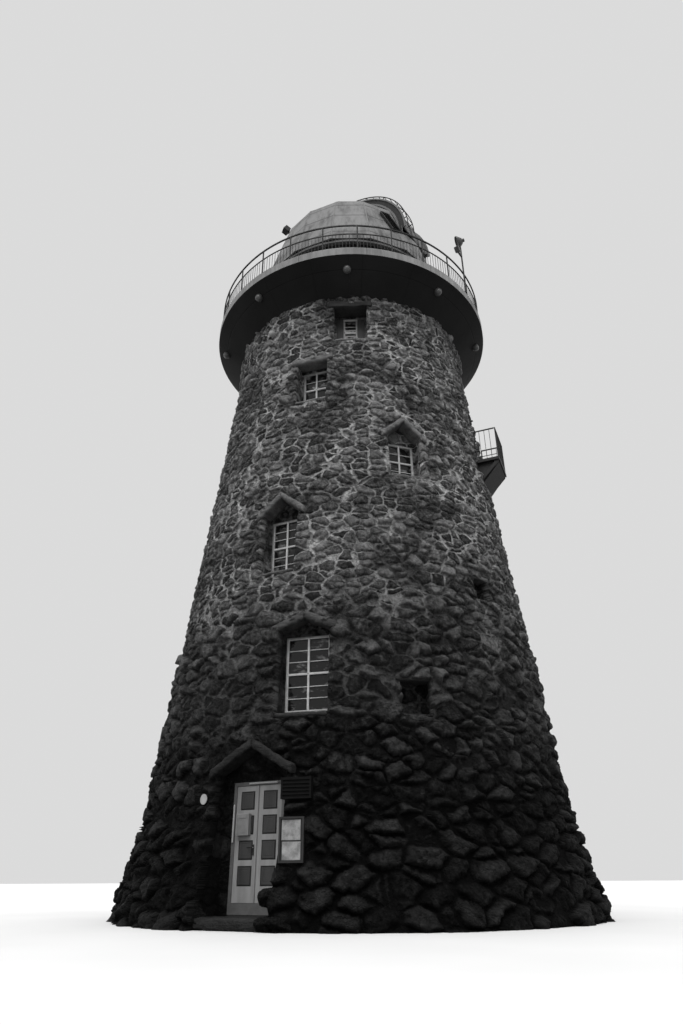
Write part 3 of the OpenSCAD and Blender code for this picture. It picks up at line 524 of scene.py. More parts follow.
broken_face = mesh_recipe("broken_face", noise_shift(5.5, 0.2))
quarry = []
for shape in range(5):
    deselect()
    bpy.ops.mesh.primitive_ico_sphere_add(subdivisions=4, radius=0.5)
    boulder = bpy.context.object
    bpy.ops.object.mode_set(mode="EDIT")
    for cut in range(9):
        turn, lift = 2.4 * cut + 1.3 * shape, math.sin(5.1 * cut + 2.3 * shape)
        flat = math.sqrt(1 - lift * lift)
        normal = Vector((flat * math.cos(turn), flat * math.sin(turn), lift))
        split = normal * (0.33 + 0.05 * math.sin(7 * cut + shape))
        bpy.ops.mesh.select_all(action="SELECT")
        bpy.ops.mesh.bisect(plane_co=split, plane_no=normal, use_fill=True, clear_outer=True)
    bpy.ops.object.mode_set(mode="OBJECT")
    apply_modifier(boulder, "REMESH", mode="VOXEL", voxel_size=0.062)
    apply_modifier(boulder, "NODES", node_group=broken_face)
    quarry.append(boulder)

boulders = []
foot_places = 44
door_clear = 12.5
boulder_deep = 0.62
for k in range(foot_places):
    az = -180 + 360 * k / foot_places + 2.5 * math.sin(3.7 * k)
    if abs(az - door_az) < door_clear:
        continue
    wide = 0.95 + 0.25 * math.sin(2.9 * k)
    high = 0.62 + 0.16 * math.sin(4.3 * k)
    z = 0.22 + 0.2 * math.sin(5.9 * k) + (0.42 if k % 3 == 0 else 0)
    lean = Matrix.Rotation(0.5 * math.sin(6.1 * k), 4, "Y") @ Matrix.Diagonal((wide, boulder_deep, high, 1))
    boulders.append(copy_at(quarry[k % 5], at(az, 0, wall_radius(z) - 0.27, z) @ lean))
# Beside the door: bearing, height, width, how high, and how deep in the wall
door_boulders = [(-15.4, 0.52, 0.72, 0.52, 0.14), (-14.6, 0.12, 0.9, 0.4, 0.12), (-34.2, 0.2, 0.8, 0.5, 0.18)]
for az, z, wide, high, sunk in door_boulders:
    size = Matrix.Diagonal((wide, boulder_deep, high, 1))
    boulders.append(copy_at(quarry[1], at(az, 0, wall_radius(z) - sunk, z) @ size))
discard(*quarry)
boulders = gather(boulders)
bpy.ops.object.mode_set(mode="EDIT")
bpy.ops.mesh.select_all(action="SELECT")
bpy.ops.mesh.bisect(plane_co=(0, 0, 0.004), plane_no=(0, 0, 1), use_fill=True, clear_inner=True)
bpy.ops.object.mode_set(mode="OBJECT")
bpy.ops.object.shade_smooth()


def boulder_skin(place):
    grain = place.noise(22.0, 5.0, 0.65)
    patch = place.noise(2.1, 3.0, 0.6)
    tone = patch.rise(0.35, 0.75) * 0.014 + grain.rise(0.45, 0.75) * 0.02 + 0.003
    broken = place.noise(8.0, 5.0, 0.68) * 1.6 - crease(place, 5.0) * 0.4
    return {
        "Base Color": tone.grey(0.0, 1.0),
        "Roughness": 0.85 - grain * 0.2,
        "Normal": bumped(place, grain * 0.6 + broken, 0.16),
        "Specular IOR Level": 0.15,
    }


settle(boulders, "tower", finish("boulder", boulder_skin), "foot_boulders")

# Slabs and sills
# Rough-hewn slabs lean on each other over the openings, and thick sills fall outwards under them.
# Their faces are split, not sawn, so each slab is a little uneven and its edges are worn.
def hewn(place):
    grain = place.noise(30.0, 5.0, 0.65)
    patch = place.noise(2.4, 3.0, 0.6)
    bedding = place.stretched(1, 1, 5).noise(3.0, 3.0, 0.6)
    # Slabs are paler higher up, partly their own tone and partly painted shade low down. They are darker just
    # under the gallery with painted shade.
    high = place.part(2).rise(2.0, 12.0)
    painted_eaves_shade = place.part(2).rise(16.1, 15.2) * 0.75 + 0.25
    shade = (patch * 0.5 + grain * 0.5 + bedding * 0.6 - 0.42).maths("MAXIMUM", 0.08)
    return {
        "Base Color": (shade * high.mixed(0.05, 0.38) * painted_eaves_shade).grey(0.0, 1.0),
        "Roughness": 0.9 - grain * 0.15,
        "Normal": bumped(place, grain * 0.6 + place.noise(9.0, 4.0, 0.6) + bedding, 0.03),
        "Specular IOR Level": 0.15,
    }


hewn_stone = finish("hewn_stone", hewn)
split_face = mesh_recipe("split_face", noise_shift(4.2, 0.085))
for name in ("porch_slabs", "window_slabs", "window_sills", "door_step"):
    slabs = copy_at(cad[name], Matrix())
    slabs.parent = None
    slabs.matrix_world = Matrix()
    only(slabs)
    bpy.ops.object.mode_set(mode="EDIT")
    bpy.ops.mesh.select_all(action="SELECT")
    bpy.ops.mesh.remove_doubles(threshold=0.0002)
    bpy.ops.mesh.separate(type="LOOSE")
    bpy.ops.object.mode_set(mode="OBJECT")
    loose = list(bpy.context.selected_objects)
    for slab in loose:
        apply_modifier(slab, "REMESH", mode="VOXEL", voxel_size=0.042)
        apply_modifier(slab, "NODES", node_group=split_face)
    slabs = gather(loose)
    bpy.ops.object.mode_set(mode="EDIT")
    bpy.ops.mesh.select_all(action="SELECT")
    bpy.ops.mesh.bisect(plane_co=(0, 0, 0.002), plane_no=(0, 0, 1), use_fill=True, clear_inner=True)
    bpy.ops.object.mode_set(mode="OBJECT")
    bpy.ops.object.shade_smooth()
    settle(slabs, "tower", hewn_stone, f"{name}_hewn")
    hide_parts(name)
    cad[name].data.materials.clear()
    cad[name].data.materials.append(hewn_stone)


# Windows
# Painted softwood casements, each light split by thin glazing bars, with glossy old glass behind them,
# painted near black as the shade of the room and with a few painted pale reflections.
def paint_finish(name, dark, light, rough=0.6, scale=6.0, streak=1.0, shine=0.5):
    def paint(place):
        blotch = place.stretched(1, 1, 1 / streak).noise(scale, 4.0, 0.6)
        grain = place.noise(60.0, 3.0, 0.6)
        return {
            "Base Color": (blotch * 1.5 - 0.25 + grain * 0.3 - 0.15).rise(0.0, 1.0).grey(dark, light),
            "Roughness": blotch * 0.2 + rough - 0.1,
            "Normal": bumped(place, grain, 0.004),
            "Specular IOR Level": shine,
        }

    return finish(name, paint)


def coat(material, *names):
    for name in names:
        cad[name].data.materials.clear()
        cad[name].data.materials.append(material)


def block(wide, deep, high, worn):
    """A block about the origin, its edges worn round."""
    deselect()
    bpy.ops.mesh.primitive_cube_add(size=1)
    made = bpy.context.object
    bpy.ops.transform.resize(value=(wide, deep, high))
    bpy.ops.object.transform_apply(scale=True)
    bpy.ops.object.mode_set(mode="EDIT")
    bpy.ops.mesh.select_all(action="SELECT")
    bpy.ops.mesh.bevel(offset=worn, segments=1)
    bpy.ops.object.mode_set(mode="OBJECT")
    return made


white_paint = paint_finish("white_paint", 0.42, 0.64, 0.5)
recess = 0.42
border, mullion, sash_t, rim_t = 0.055, 0.046, 0.045, 0.08
rim = 0.04
bar, bar_deep = 0.018, 0.022
lap, proud = 0.002, 0.006
# Lights across and up, bars in a light, and the frame's width, of each window in turn
sashes = [(2, 2, 2, 1.02), (2, 2, 2, 0.85), (2, 2, 1, 0.8), (2, 2, 1, 0.78), (1, 2, 1, 0.44)] * 2
timbers = []
for (az, w, h, sill, rise), (wide_n, high_n, bar_n, frame_w) in zip(windows, sashes):
    plane = wall_radius(sill + h / 2) - recess
    light_w = (frame_w - 2 * border - (wide_n - 1) * mullion) / wide_n
    light_h = (h - 2 * border - (high_n - 1) * mullion) / high_n
    lying = []
    for edge in (-1, 1):
        lying.append((0, sill + h / 2 + edge * (h - border) / 2, frame_w, border, sash_t))
        lying.append((0, sill + h / 2 + edge * (h - rim) / 2, frame_w, rim, rim_t))
    for j in range(1, high_n):
        z = sill + border + j * (light_h + mullion) - mullion / 2
        lying.append((0, z, frame_w - border, mullion, sash_t + proud))
    for side in (-1, 1):
        lying.append((side * (frame_w - border) / 2, sill + h / 2, border, h - 2 * border + lap, sash_t))
        lying.append((side * (frame_w - rim) / 2, sill + h / 2, rim, h - 1.5 * rim, rim_t))
    for i in range(1, wide_n):
        u = -frame_w / 2 + border + i * (light_w + mullion) - mullion / 2
        lying.append((u, sill + h / 2, mullion, h - 2 * border + lap, sash_t))
    for i in range(wide_n):
        for j in range(high_n):
            for n in range(bar_n):
                u = -frame_w / 2 + border + light_w / 2 + i * (light_w + mullion)
                z = sill + border + j * (light_h + mullion) + light_h * (n + 1) / (bar_n + 1)
                lying.append((u, z, light_w + 4 * lap, bar, bar_deep))
    for u, z, wide, high, deep in lying:
        timber = block(wide, deep, high, 0.003)
        out = plane - sash_t + 0.014 if deep == bar_deep else plane - deep / 2
        timber.data.transform(at(az, u, out, z))
        timbers.append(timber)
casements = settle(gather(timbers), "tower", white_paint, "casements")
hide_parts("window_frames")
coat(white_paint, "window_frames")


def old_glass(place):
    ripple = place.noise(2.2, 2.0)
    # The pale patches are painted reflections, and the near-black ground is painted shade of the room behind.
    pale = place.stretched(1, 1, 2.2).noise(3.4, 4.0, 0.6).rise(0.55, 0.68)
    return {
        "Base Color": (pale * (ripple * 0.26 + 0.03) + 0.008).grey(0.0, 1.0),
        "Roughness": 0.08,
        "Normal": bumped(place, ripple, 0.05),
        "Specular IOR Level": 0.35,
    }


coat(finish("old_glass", old_glass), "window_glass")
# The boarding in the windows and the balcony door is painted darker as the shade of its recess.
coat(paint_finish("boards", 0.02, 0.06, 0.7, streak=6.0), "window_boarding", "balcony_door")

# Entrance door
# Two painted leaves with four fielded panels each, darker than their stiles, with dark sheets of painted
# shade in each panel's groove, a bare letter box, a worn lever handle, and tube lamps over the head and
# beside the left jamb.
coat(paint_finish("frame_paint", 0.07, 0.12, 0.5), "door_frame")
stile_paint = paint_finish("stile_paint", 0.19, 0.3, 0.45, streak=5.0)
panel_paint = paint_finish("panel_paint", 0.02, 0.045, 0.45, streak=5.0)
coat(stile_paint, "door_leaf_left", "door_leaf_right")
porch_deep, leaf_set = 0.56, 0.012
door_face = wall_radius(1.4) - porch_deep - leaf_set
leaf_t = 0.045
leaf_mid = 0.26225
panel_w, panel_h = 0.3255, 0.34625
panel_low, panel_step = 0.69, 0.44625
panel_margin, panel_t = 0.05, 0.013
panel = block(panel_w - panel_margin, panel_t, panel_h - panel_margin, 0.003)
bpy.ops.object.mode_set(mode="EDIT")
pick(panel, "faces", lambda middle, item: middle.y < -0.49 * panel_t)
bpy.ops.mesh.inset(thickness=0.03, depth=0)
bpy.ops.mesh.inset(thickness=0.006, depth=-0.004)
bpy.ops.mesh.inset(thickness=0.012, depth=0.003)
bpy.ops.object.mode_set(mode="OBJECT")
groove_in = 0.0102
# Thin near-black sheets at the bottom of each panel's groove are painted shade.
groove = block(panel_w - 0.002, 0.002, panel_h - 0.002, 0.0003)
groove_shade_paint = paint_finish("groove_shade_paint", 0.004, 0.012, 0.6, streak=5.0)
for side, body in ((-1, "leaf_left"), (1, "leaf_right")):
    fields = []
    for row in range(4):
        z = panel_low + row * panel_step + panel_h / 2
        fields.append(copy_at(panel, at(door_az, side * leaf_mid, door_face - 0.0005, z)))
        inner = at(door_az, side * leaf_mid, door_face - leaf_t + 0.0005, z)
        fields.append(copy_at(panel, inner @ Matrix.Rotation(math.pi, 4, "Z")))
    settle(gather(fields), body, panel_paint, f"{body}_panels")
    shade_liners = []
    for row in range(4):
        z = panel_low + row * panel_step + panel_h / 2
        for out in (door_face - groove_in, door_face - leaf_t + groove_in):
            shade_liners.append(copy_at(groove, at(door_az, side * leaf_mid, out, z)))
    settle(gather(shade_liners), body, groove_shade_paint, f"{body}_painted_groove_shade")
discard(panel, groove)

letter_box_u, letter_box_z, letter_box_deep = -0.31, 1.765, 0.1
cover = block(0.262, 0.008, 0.362, 0.003)
bpy.ops.object.mode_set(mode="EDIT")
pick(cover, "faces", lambda middle, item: middle.y < -0.0039)
bpy.ops.mesh.inset(thickness=0.02, depth=0)
bpy.ops.mesh.inset(thickness=0.01, depth=0.003)
bpy.ops.object.mode_set(mode="OBJECT")
flap = block(0.2, 0.01, 0.045, 0.004)
lid = [cover, copy_at(flap, Matrix.Translation((0, -0.006, 0.125)))]
discard(flap)
lid = gather(lid)
lid.data.transform(at(door_az, letter_box_u, door_face + letter_box_deep, letter_box_z))
settle(lid, "leaf_left", paint_finish("box_enamel", 0.14, 0.22, 0.35), "letter_box_cover")

dark_iron = paint_finish("dark_iron", 0.008, 0.022, 0.55, shine=0.3)
plate = block(0.034, 0.004, 0.19, 0.0015)
grip = block(0.13, 0.014, 0.02, 0.006)
lever = [
    copy_at(plate, at(door_az, -0.0775, door_face + 0.0095, 1.31)),
    copy_at(grip, at(door_az, -0.133, door_face + 0.0665, 1.35)),
]
discard(plate, grip)
settle(gather(lever), "leaf_left", dark_iron, "door_lever_plate")

tube_t = 0.035
tube_out = door_face + leaf_set + 0.018
tube = block(0.68, tube_t, tube_t, 0.012)
upright = block(tube_t, tube_t, 0.7, 0.012)
tubes = [
    copy_at(tube, at(door_az, 0.1, tube_out, 2.515)),
    copy_at(upright, at(door_az, -0.56, tube_out, 1.79)),
]
discard(tube, upright)
settle(gather(tubes), "tower", paint_finish("tube_lamp", 0.34, 0.45, 0.4), "tube_lamps")

# Notice board and louvred box
# A shallow painted case with two bare sheets pinned in it, and above it a dark metal box whose
# slots hold tilted blades.
coat(paint_finish("board_paint", 0.006, 0.022, 0.5), "notice_board")
board_az = fixture_beds["notice_board"][0]
sheet_out = wall_radius(1.06) + 0.037
curl = 0.012
paper = paint_finish("bare_paper", 0.13, 0.42, 0.8, scale=7.0)
sheets = []
for wide, high, z, u in ((0.36, 0.34, 1.6, -0.005), (0.35, 0.3, 1.255, 0.005)):
    leaf = block(wide, 0.002, high, 0.0005)
    bpy.ops.object.mode_set(mode="EDIT")
    bpy.ops.mesh.select_all(action="SELECT")
    bpy.ops.mesh.subdivide(number_cuts=5)
    bpy.ops.object.mode_set(mode="OBJECT")
    for vertex in leaf.data.vertices:
        vertex.co.y -= curl * (2 * abs(vertex.co.x) / wide) ** 3
    sheets.append(copy_at(leaf, at(board_az, u, sheet_out, z)))
    discard(leaf)
settle(gather(sheets), "tower", paper, "notice_sheets")

louvre_az = fixture_beds["louvre_box"][0]
louvre_face = wall_radius(2.14) + 0.17
blade_low, blade_step = 2.192, 0.066
blade_tilt = Matrix.Rotation(math.radians(32), 4, "X")
blade = block(0.534, 0.036, 0.003, 0.0008)
blades = []
for i in range(5):
    place = at(louvre_az, 0, louvre_face - 0.012, blade_low + blade_step * i)
    blades.append(copy_at(blade, place @ blade_tilt))
discard(blade)
louvre_paint = paint_finish("louvre_paint", 0.002, 0.006, 0.65, shine=0.12)
settle(gather(blades), "tower", louvre_paint, "louvre_blades")
coat(louvre_paint, "louvre_box")
coat(dark_iron, "gallery_railing", "lamp_mast", "balcony_platform", "balcony_railing")
coat(dark_iron, "dome_ladder", "dome_vent")
coat(paint_finish("disc_enamel", 0.32, 0.45, 0.3), "wall_disc")
coat(paint_finish("floor_concrete", 0.2, 0.35, 0.8), "ground_floor", "upper_floors")


# Gallery
# A concrete slab with a weathered fascia cast in short lengths, on a collar of panels that widens out of the
# wall, near black partly from dark paint and partly as painted shade, with a bulkhead lamp every forty
# degrees.
def ring_joint(place, parts, width):
    """1 within a joint line, of joints that split a ring about the axis into equal parts."""
    bearing = place.part(0).maths("ARCTAN2", place.part(1) * -1.0)
    share = (bearing * (parts / (2 * math.pi)) + 100.25).maths("FRACT")
    return 1 - (share - 0.5).maths("ABSOLUTE").rise(0.0, width)


def cast(place):
    joint = ring_joint(place, 14, 0.006)
    grain = place.noise(40.0, 4.0, 0.6)
    run = place.stretched(3, 3, 0.35).noise(2.2, 4.0, 0.65)
    cloud = place.noise(0.9, 3.0)
    shade = run * 0.9 + grain * 0.3 + cloud * 0.7 - 0.55
    return {
        "Base Color": (shade.rise(0.0, 1.0).mixed(0.16, 0.4) * (1 - joint * 0.75)).grey(0.0, 1.0),
        "Roughness": 0.92 - grain * 0.1,
        "Normal": bumped(place, grain * 0.2 + run * 0.3 - joint * 0.6, 0.012),
        "Specular IOR Level": 0.25,
    }


collar_ring_r = 4.36


def collar_paint_and_shade(place):
    radius = place.node("ShaderNodeVectorMath", {"operation": "LENGTH"}, {0: place.stretched(1, 1, 0)}, 1)
    ring = (radius - collar_ring_r).maths("ABSOLUTE")
    joint = ring_joint(place, 18, 0.004).maths("MAXIMUM", 1 - ring.rise(0.0, 0.012))
    grain = place.noise(30.0, 4.0, 0.6)
    cloud = place.noise(0.8, 3.0)
    # The panels' near-black colour is partly dark paint and partly painted shade under the gallery.
    return {
        "Base Color": ((cloud * 0.016 + grain * 0.008 + 0.002) * (1 - joint * 0.6)).grey(0.0, 1.0),
        "Roughness": 0.75 - cloud * 0.1,
        "Normal": bumped(place, grain * 0.2 - joint, 0.01),
        "Specular IOR Level": 0.15,
    }


gallery_concrete = finish("gallery_concrete", cast)
coat(gallery_concrete, "gallery_slab")
slab_low, slab_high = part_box("gallery_slab")[0].z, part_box("gallery_slab")[1].z
gallery_r, edge_fall, edge_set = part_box("gallery_slab")[1].x, 0.1, 0.075
fascia_top = slab_high - edge_fall
deselect()
bpy.ops.mesh.primitive_cylinder_add(
    vertices=240, radius=gallery_r, depth=fascia_top - slab_low, location=(0, 0, (slab_low + fascia_top) / 2)
)
bpy.ops.object.transform_apply(location=True)
slab = bpy.context.object
bpy.ops.object.mode_set(mode="EDIT")
pick(slab, "faces", lambda middle, item: item.normal.z > 0.9)
bpy.ops.mesh.extrude_region_move(TRANSFORM_OT_translate={"value": (0, 0, edge_fall)})
bpy.ops.transform.resize(value=((gallery_r - edge_set) / gallery_r,) * 2 + (1,), center_override=(0, 0, 0))
bpy.ops.object.mode_set(mode="OBJECT")
bpy.ops.object.shade_smooth_by_angle(angle=math.radians(20))
settle(slab, "tower", gallery_concrete, "gallery_slab_bevelled")
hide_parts("gallery_slab")
coat(finish("collar_paint_and_shade", collar_paint_and_shade), "gallery_collar")
lamp_metal = paint_finish("lamp_metal", 0.03, 0.09, 0.4)
coat(lamp_metal, "soffit_lamps", "mast_floodlights")
soffit_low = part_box("gallery_collar")[0].z
lean = math.atan2(slab_low - soffit_low, gallery_r - neck_r)
lamp_r = (neck_r + 2 * gallery_r) / 3
first_lamp_az, lamp_base = -1, 0.0447
hanging = Matrix.Rotation(math.pi - lean, 4, "X") @ Matrix.Translation((0, 0, lamp_base))
deselect()
bpy.ops.mesh.primitive_uv_sphere_add(segments=20, ring_count=12, radius=0.11)
glass = bpy.context.object
bpy.ops.object.mode_set(mode="EDIT")
bpy.ops.mesh.select_all(action="SELECT")
bpy.ops.mesh.bisect(plane_co=(0, 0, 0), plane_no=(0, 0, 1), use_fill=True, clear_inner=True)
bpy.ops.transform.resize(value=(1, 1, 0.74), center_override=(0, 0, 0))
bpy.ops.object.mode_set(mode="OBJECT")
bpy.ops.object.shade_smooth_by_angle(angle=math.radians(40))
glasses = []
for k in range(9):
    place = at(first_lamp_az + 40 * k, 0, lamp_r, soffit_low + (lamp_r - neck_r) * math.tan(lean))
    glasses.append(copy_at(glass, place @ hanging))
discard(glass)
opal_glass = paint_finish("opal_glass", 0.08, 0.15, 0.2)
settle(gather(glasses), "tower", opal_glass, "soffit_lamp_glasses")

lamp_az, lamp_z = fixture_beds["wall_lamp"][:2]
wall_glass = paint_finish("wall_glass", 0.42, 0.5, 0.3)
deselect()
bpy.ops.mesh.primitive_uv_sphere_add(segments=20, ring_count=12, radius=0.1)
wall_lamp = bpy.context.object
bpy.ops.object.mode_set(mode="EDIT")
bpy.ops.mesh.select_all(action="SELECT")
bpy.ops.mesh.bisect(plane_co=(0, 0, 0), plane_no=(0, 1, 0), use_fill=True, clear_outer=True)
pick(wall_lamp, "faces", lambda middle, item: item.normal.y > 0.9)
bpy.ops.mesh.extrude_region_move(TRANSFORM_OT_translate={"value": (0, 0.06, 0)})
bpy.ops.object.mode_set(mode="OBJECT")
bpy.ops.object.shade_smooth_by_angle(angle=math.radians(40))
wall_lamp.data.transform(at(lamp_az, 0, neck_r + 0.056, lamp_z))
settle(wall_lamp, "tower", wall_glass, "wall_lamp")

# Floodlights
# A round steel lamp on a yoke at the mast's top, turned over the dome, and below it a small box lamp
# on an arm that is clamped round the mast.
mast_az, mast_out, mast_top = 54.5, gallery_r - 0.026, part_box("lamp_mast")[1].z
deselect()
bpy.ops.mesh.primitive_cone_add(vertices=32, radius1=0.22, radius2=0.1, depth=0.15)
bowl = bpy.context.object
bpy.ops.object.mode_set(mode="EDIT")
pick(bowl, "faces", lambda middle, item: item.normal.z < -0.9)
bpy.ops.mesh.extrude_region_move(TRANSFORM_OT_translate={"value": (0, 0, -0.03)})
bpy.ops.mesh.inset(thickness=0.018, depth=0)
bpy.ops.mesh.inset(thickness=0.004, depth=-0.02)
pick(bowl, "faces", lambda middle, item: item.normal.z > 0.9)
bpy.ops.mesh.inset(thickness=0.04, depth=0)
bpy.ops.mesh.extrude_region_move(TRANSFORM_OT_translate={"value": (0, 0, 0.08)})
bpy.ops.object.mode_set(mode="OBJECT")
bpy.ops.object.shade_smooth_by_angle(angle=math.radians(40))
beam = Matrix.Rotation(math.radians(170 - mast_az), 4, "Z") @ Matrix.Rotation(math.radians(108), 4, "Y")
bowl.data.transform(at(mast_az, 0, mast_out, mast_top + 0.3) @ beam @ Matrix.Rotation(math.pi, 4, "X"))
neck = block(0.036, 0.036, 0.32, 0.008)
arm = block(0.28, 0.06, 0.06, 0.008)
case = block(0.12, 0.16, 0.2, 0.012)
case_tilt = Matrix.Rotation(math.radians(-32), 4, "Y")
lamps = [
    bowl,
    copy_at(neck, at(mast_az, 0, mast_out, mast_top + 0.1)),
    copy_at(arm, at(mast_az, -0.13, mast_out, mast_top - 0.42)),
    copy_at(case, at(mast_az, -0.29, mast_out, mast_top - 0.35) @ case_tilt),
]
discard(neck, arm, case)
mast_lamps = settle(gather(lamps), "tower", lamp_metal, "mast_lamps")
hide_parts("mast_floodlights")

# Side balcony
# A steel platform on braces that stand against the wall, closed below by a sloping sheet-metal apron
# between them.
apron_reach, wall_side = 4.74, wall_radius(11.1) - 0.1
apron_top, lip_low, root_low = balcony_floor - 0.092, balcony_floor - 0.15, balcony_floor - 0.96
apron = block(0.95, 1.0, 1.0, 0.004)
for vertex in apron.data.vertices:
    outer = vertex.co.y < 0
    vertex.co.z = apron_top if vertex.co.z > 0 else (lip_low if outer else root_low)
    vertex.co.y = -apron_reach if outer else -wall_side
apron.data.transform(Matrix.Rotation(math.radians(balcony_az), 4, "Z"))
settle(apron, "tower", dark_iron, "balcony_apron")


# Dome
# Grey painted sheet on sixteen facets, lapped along three levels and streaked by rain, with seam strips at
# the corners, between arched girders over the slit. The drum and its track stay in the skirt's shade, and the
# drum is painted near black as that shade.
lap_levels = (20.1, 21.32, 22.15)


def dome_sheet(place):
    up = place.part(2)
    streaks = place.stretched(1, 1, 0.16).noise(2.6, 4.0, 0.6)
    runs = place.stretched(1, 1, 0.07).noise(9.0, 3.0, 0.6)
    cloud = place.noise(0.9, 3.0)
    grain = place.noise(45.0, 3.0, 0.6)
    laps = None
    for level in lap_levels:
        near = 1 - (up - level).maths("ABSOLUTE").rise(0.01, 0.04)
        laps = near if laps is None else laps.maths("MAXIMUM", near)
    # The sheet is darker towards the skirt.
    darker_low = up.rise(20.9, 19.6) * 0.25
    sheet_darkening = streaks.rise(0.36, 0.7) * 0.55 + runs.rise(0.4, 0.7) * 0.25 + cloud * 0.5 - 0.22 + darker_low
    tone = sheet_darkening.rise(0.0, 1.0).mixed(0.2, 0.055) * (1 - laps * 0.55) + (grain - 0.5) * 0.02
    return {
        "Base Color": tone.grey(0.0, 1.0),
        "Roughness": streaks * 0.25 + 0.5,
        "Normal": bumped(place, cloud * 0.5 + laps * 0.3 + grain * 0.04, 0.03),
        "Specular IOR Level": 0.4,
    }


coat(finish("dome_sheet", dome_sheet), "dome_shell")
coat(paint_finish("shutter_paint", 0.06, 0.15, 0.55, streak=4.0), "slit_shutter")
slit_az = 55
dome_az = 12.1
skirt_low, skirt_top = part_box("dome_shell")[0].z, 21.35
dome_mid = skirt_top - 0.15
skirt_r, dome_r = 3.4, 2.88


def girder_skin(place):
    """Pale flanges and a web darkened with painted shade, by the distance from the arches' middle."""
    turn = math.radians(slit_az)
    out = place.along(math.sin(turn), -math.cos(turn), 0)
    up = place.part(2) - dome_mid
    reach = (out * out + up * up).maths("SQRT")
    # The web's dark colour is painted shade.
    web = reach.rise(2.79, 2.81) * reach.rise(3.0, 2.98)
    blotch = place.stretched(1, 1, 0.25).noise(5.0, 4.0, 0.6)
    grain = place.noise(50.0, 3.0, 0.6)
    return {
        "Base Color": (web.mixed(0.16, 0.02) * (blotch * 1.2 + 0.35)).grey(0.0, 1.0),
        "Roughness": 0.7 - blotch * 0.15,
        "Normal": bumped(place, grain, 0.004),
        "Specular IOR Level": 0.25,
    }


coat(finish("girder_skin", girder_skin), "slit_girders")
# The drum's near-black colour is painted shade under the dome's skirt.
coat(paint_finish("drum_paint", 0.004, 0.012, 0.7, streak=5.0, shine=0.15), "drum_wall", "drum_door")
coat(paint_finish("track_steel", 0.06, 0.12, 0.6, shine=0.3), "track_ring", "track_rollers", "dome_rail")
rings = [(skirt_r, skirt_low), (dome_r + 0.04, skirt_top)]
for lift in (25, 48, 70):
    turn = math.radians(lift)
    rings.append((dome_r * math.cos(turn), dome_mid + dome_r * math.sin(turn)))
dome_sides = 16
slit_clear, slit_back = 1.15, 0.9
seams = []
for k in range(dome_sides):
    az = dome_az + 360 / dome_sides * k
    for (r0, z0), (r1, z1) in zip(rings, rings[1:]):
        middle = (r0 + r1) / 2
        across_slit = middle * math.sin(math.radians(az - slit_az))
        along_slit = middle * math.cos(math.radians(az - slit_az))
        if z0 > skirt_low + 0.1 and abs(across_slit) < slit_clear and along_slit > -slit_back:
            continue
        length = math.hypot(r1 - r0, z1 - z0)
        slope = math.atan2(r0 - r1, z1 - z0)
        strip = block(0.04, 0.012, length, 0.004)
        strip.data.transform(at(az, 0, middle, (z0 + z1) / 2) @ Matrix.Rotation(-slope, 4, "X"))
        seams.append(strip)
seam_strip = paint_finish("seam_strip", 0.1, 0.22, 0.6, streak=4.0)
settle(gather(seams), "dome", seam_strip, "dome_seams")

girder_web_x, arch_r = 0.8415, 2.895
deselect()
bpy.ops.mesh.primitive_plane_add(size=1, location=(0, -arch_r, 0))
arch = bpy.context.object
bpy.ops.object.transform_apply(location=True)
bpy.ops.object.mode_set(mode="EDIT")
bpy.ops.mesh.select_all(action="SELECT")
bpy.ops.transform.resize(value=(0.024, 0.022, 1), center_override=(0, -arch_r, 0))
bpy.ops.mesh.spin(steps=72, angle=math.radians(108), center=(0, 0, 0), axis=(-1, 0, 0))
bpy.ops.mesh.select_all(action="SELECT")
bpy.ops.mesh.normals_make_consistent(inside=False)
bpy.ops.object.mode_set(mode="OBJECT")
arches = []
for side in (-1, 1):
    place = at(slit_az, side * girder_web_x, 0, dome_mid)
    arches.append(copy_at(arch, place @ Matrix.Rotation(math.radians(-3), 4, "X")))
discard(arch)
girder_rib = paint_finish("girder_rib", 0.08, 0.18, 0.6)
settle(gather(arches), "dome", girder_rib, "girder_web_ribs")

# A dark slatted grating beside the near girder stands where the shell shows the shade of the gap between
# girder and shell. Its darkness is painted shade.
grate = block(0.42, 0.09, 1.2, 0.01)
bpy.ops.object.mode_set(mode="EDIT")
pick(grate, "faces", lambda middle, item: middle.y < -0.044)
bpy.ops.mesh.inset(thickness=0.035, depth=-0.05)
bpy.ops.object.mode_set(mode="OBJECT")
slat = block(0.36, 0.05, 0.006, 0.001)
slats = [grate]
slat_tilt = Matrix.Rotation(0.6, 4, "X")
for n in range(19):
    slats.append(copy_at(slat, Matrix.Translation((0, -0.014, -0.52 + 0.058 * n)) @ slat_tilt))
discard(slat)
grate = gather(slats)
grate_az = 30.5
grate.data.transform(
    at(grate_az, 0, dome_r + 0.05, skirt_top - 0.02)
    @ Matrix.Rotation(math.radians(-17), 4, "X")
    @ Matrix.Rotation(math.radians(-13), 4, "Y")
)
settle(grate, "dome", dark_iron, "dome_grating")

# Stage, light and camera
# Pale floor to the horizon, an even pale sky, a broad soft lamp high on the left, and the lens that
# took the photograph, low in front of the entrance.
deselect()
bpy.ops.mesh.primitive_plane_add(size=900, location=(0, 0, 0))
floor = bpy.context.object
floor.name = "studio_floor"


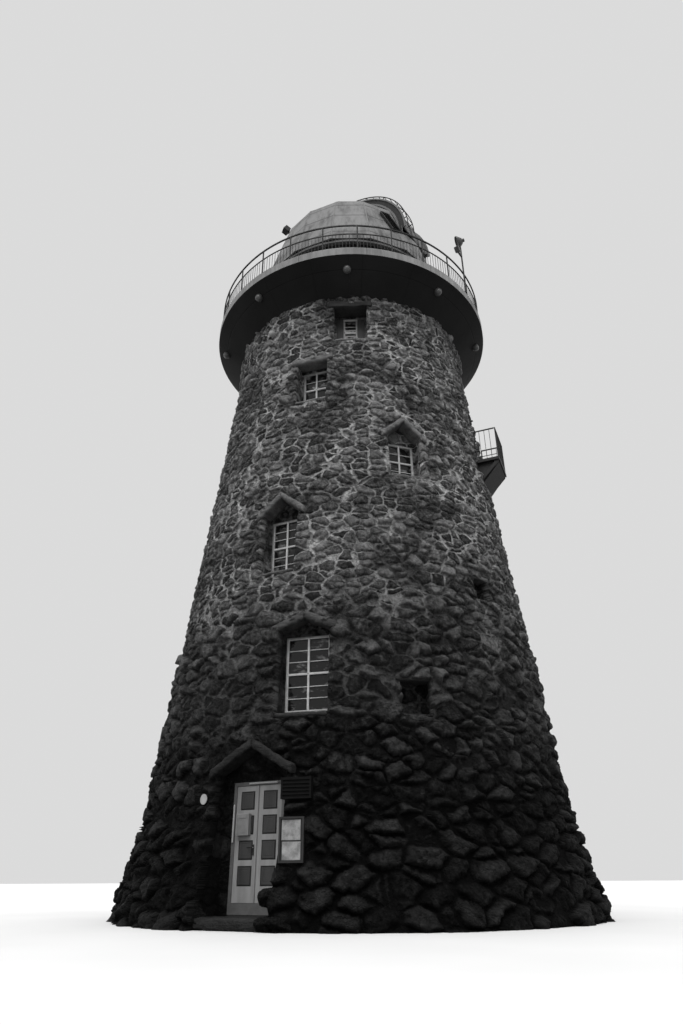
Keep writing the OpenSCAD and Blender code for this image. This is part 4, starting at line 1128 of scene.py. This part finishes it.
def floor_tone(place):
    seen = place.node("ShaderNodeLightPath")
    return {
        "Base Color": (seen * (place.noise(0.3, 2.0) * 0.08 + 0.4) + 0.18).grey(0.0, 1.0),
        "Roughness": 0.9,
        "Specular IOR Level": 0.1,
    }


floor.data.materials.append(finish("studio_floor", floor_tone))

world = bpy.data.worlds.new("sky")
bpy.context.scene.world = world
world.use_nodes = True
tree = world.node_tree
tree.nodes.clear()
path = Wire(tree).node("ShaderNodeLightPath", result="Is Camera Ray")
seen = (path + path.beside("Is Glossy Ray") + path.beside("Is Transmission Ray")).maths("MINIMUM", 1.0)
up = seen.node("ShaderNodeTexCoord", result=0).part(2)
white = (1, 1, 1, 1)
sky = seen.node("ShaderNodeBackground", {}, {"Color": white, "Strength": 0.71})
brightness = up.rise(0.0, 1.0).mixed(0.28, 2.0)
light = seen.node("ShaderNodeBackground", {}, {"Color": white, "Strength": brightness})
shown = seen.node("ShaderNodeMixShader", {}, {0: seen, 1: light, 2: sky})
output = tree.nodes.new("ShaderNodeOutputWorld")
tree.links.new(shown.socket, output.inputs[0])

sun = bpy.data.lights.new("broad_lamp", "SUN")
sun.energy = 1.3
sun.angle = math.radians(40)
lamp = bpy.data.objects.new("broad_lamp", sun)
lamp.rotation_euler = (math.radians(36), 0, math.radians(-8))
bpy.context.scene.collection.objects.link(lamp)

eye = Vector((0, -19, 0.775))
pitch, yaw, roll = math.radians(28.37), math.radians(-1.11), math.radians(-0.30)
ahead = Vector((math.sin(yaw) * math.cos(pitch), math.cos(yaw) * math.cos(pitch), math.sin(pitch)))
right = Vector((math.cos(yaw), -math.sin(yaw), 0))
above = right.cross(ahead)
side = right * math.cos(roll) + above * math.sin(roll)
top = above * math.cos(roll) - right * math.sin(roll)
turn = Matrix((side, top, -ahead)).transposed().to_4x4()
lens = bpy.data.cameras.new("camera")
lens.lens = 24.01
lens.sensor_width = 36
lens.clip_end = 2000
camera = bpy.data.objects.new("camera", lens)
camera.matrix_world = Matrix.Translation(eye) @ turn
bpy.context.scene.collection.objects.link(camera)
bpy.context.scene.camera = camera
bpy.context.scene.view_settings.view_transform = "Standard"
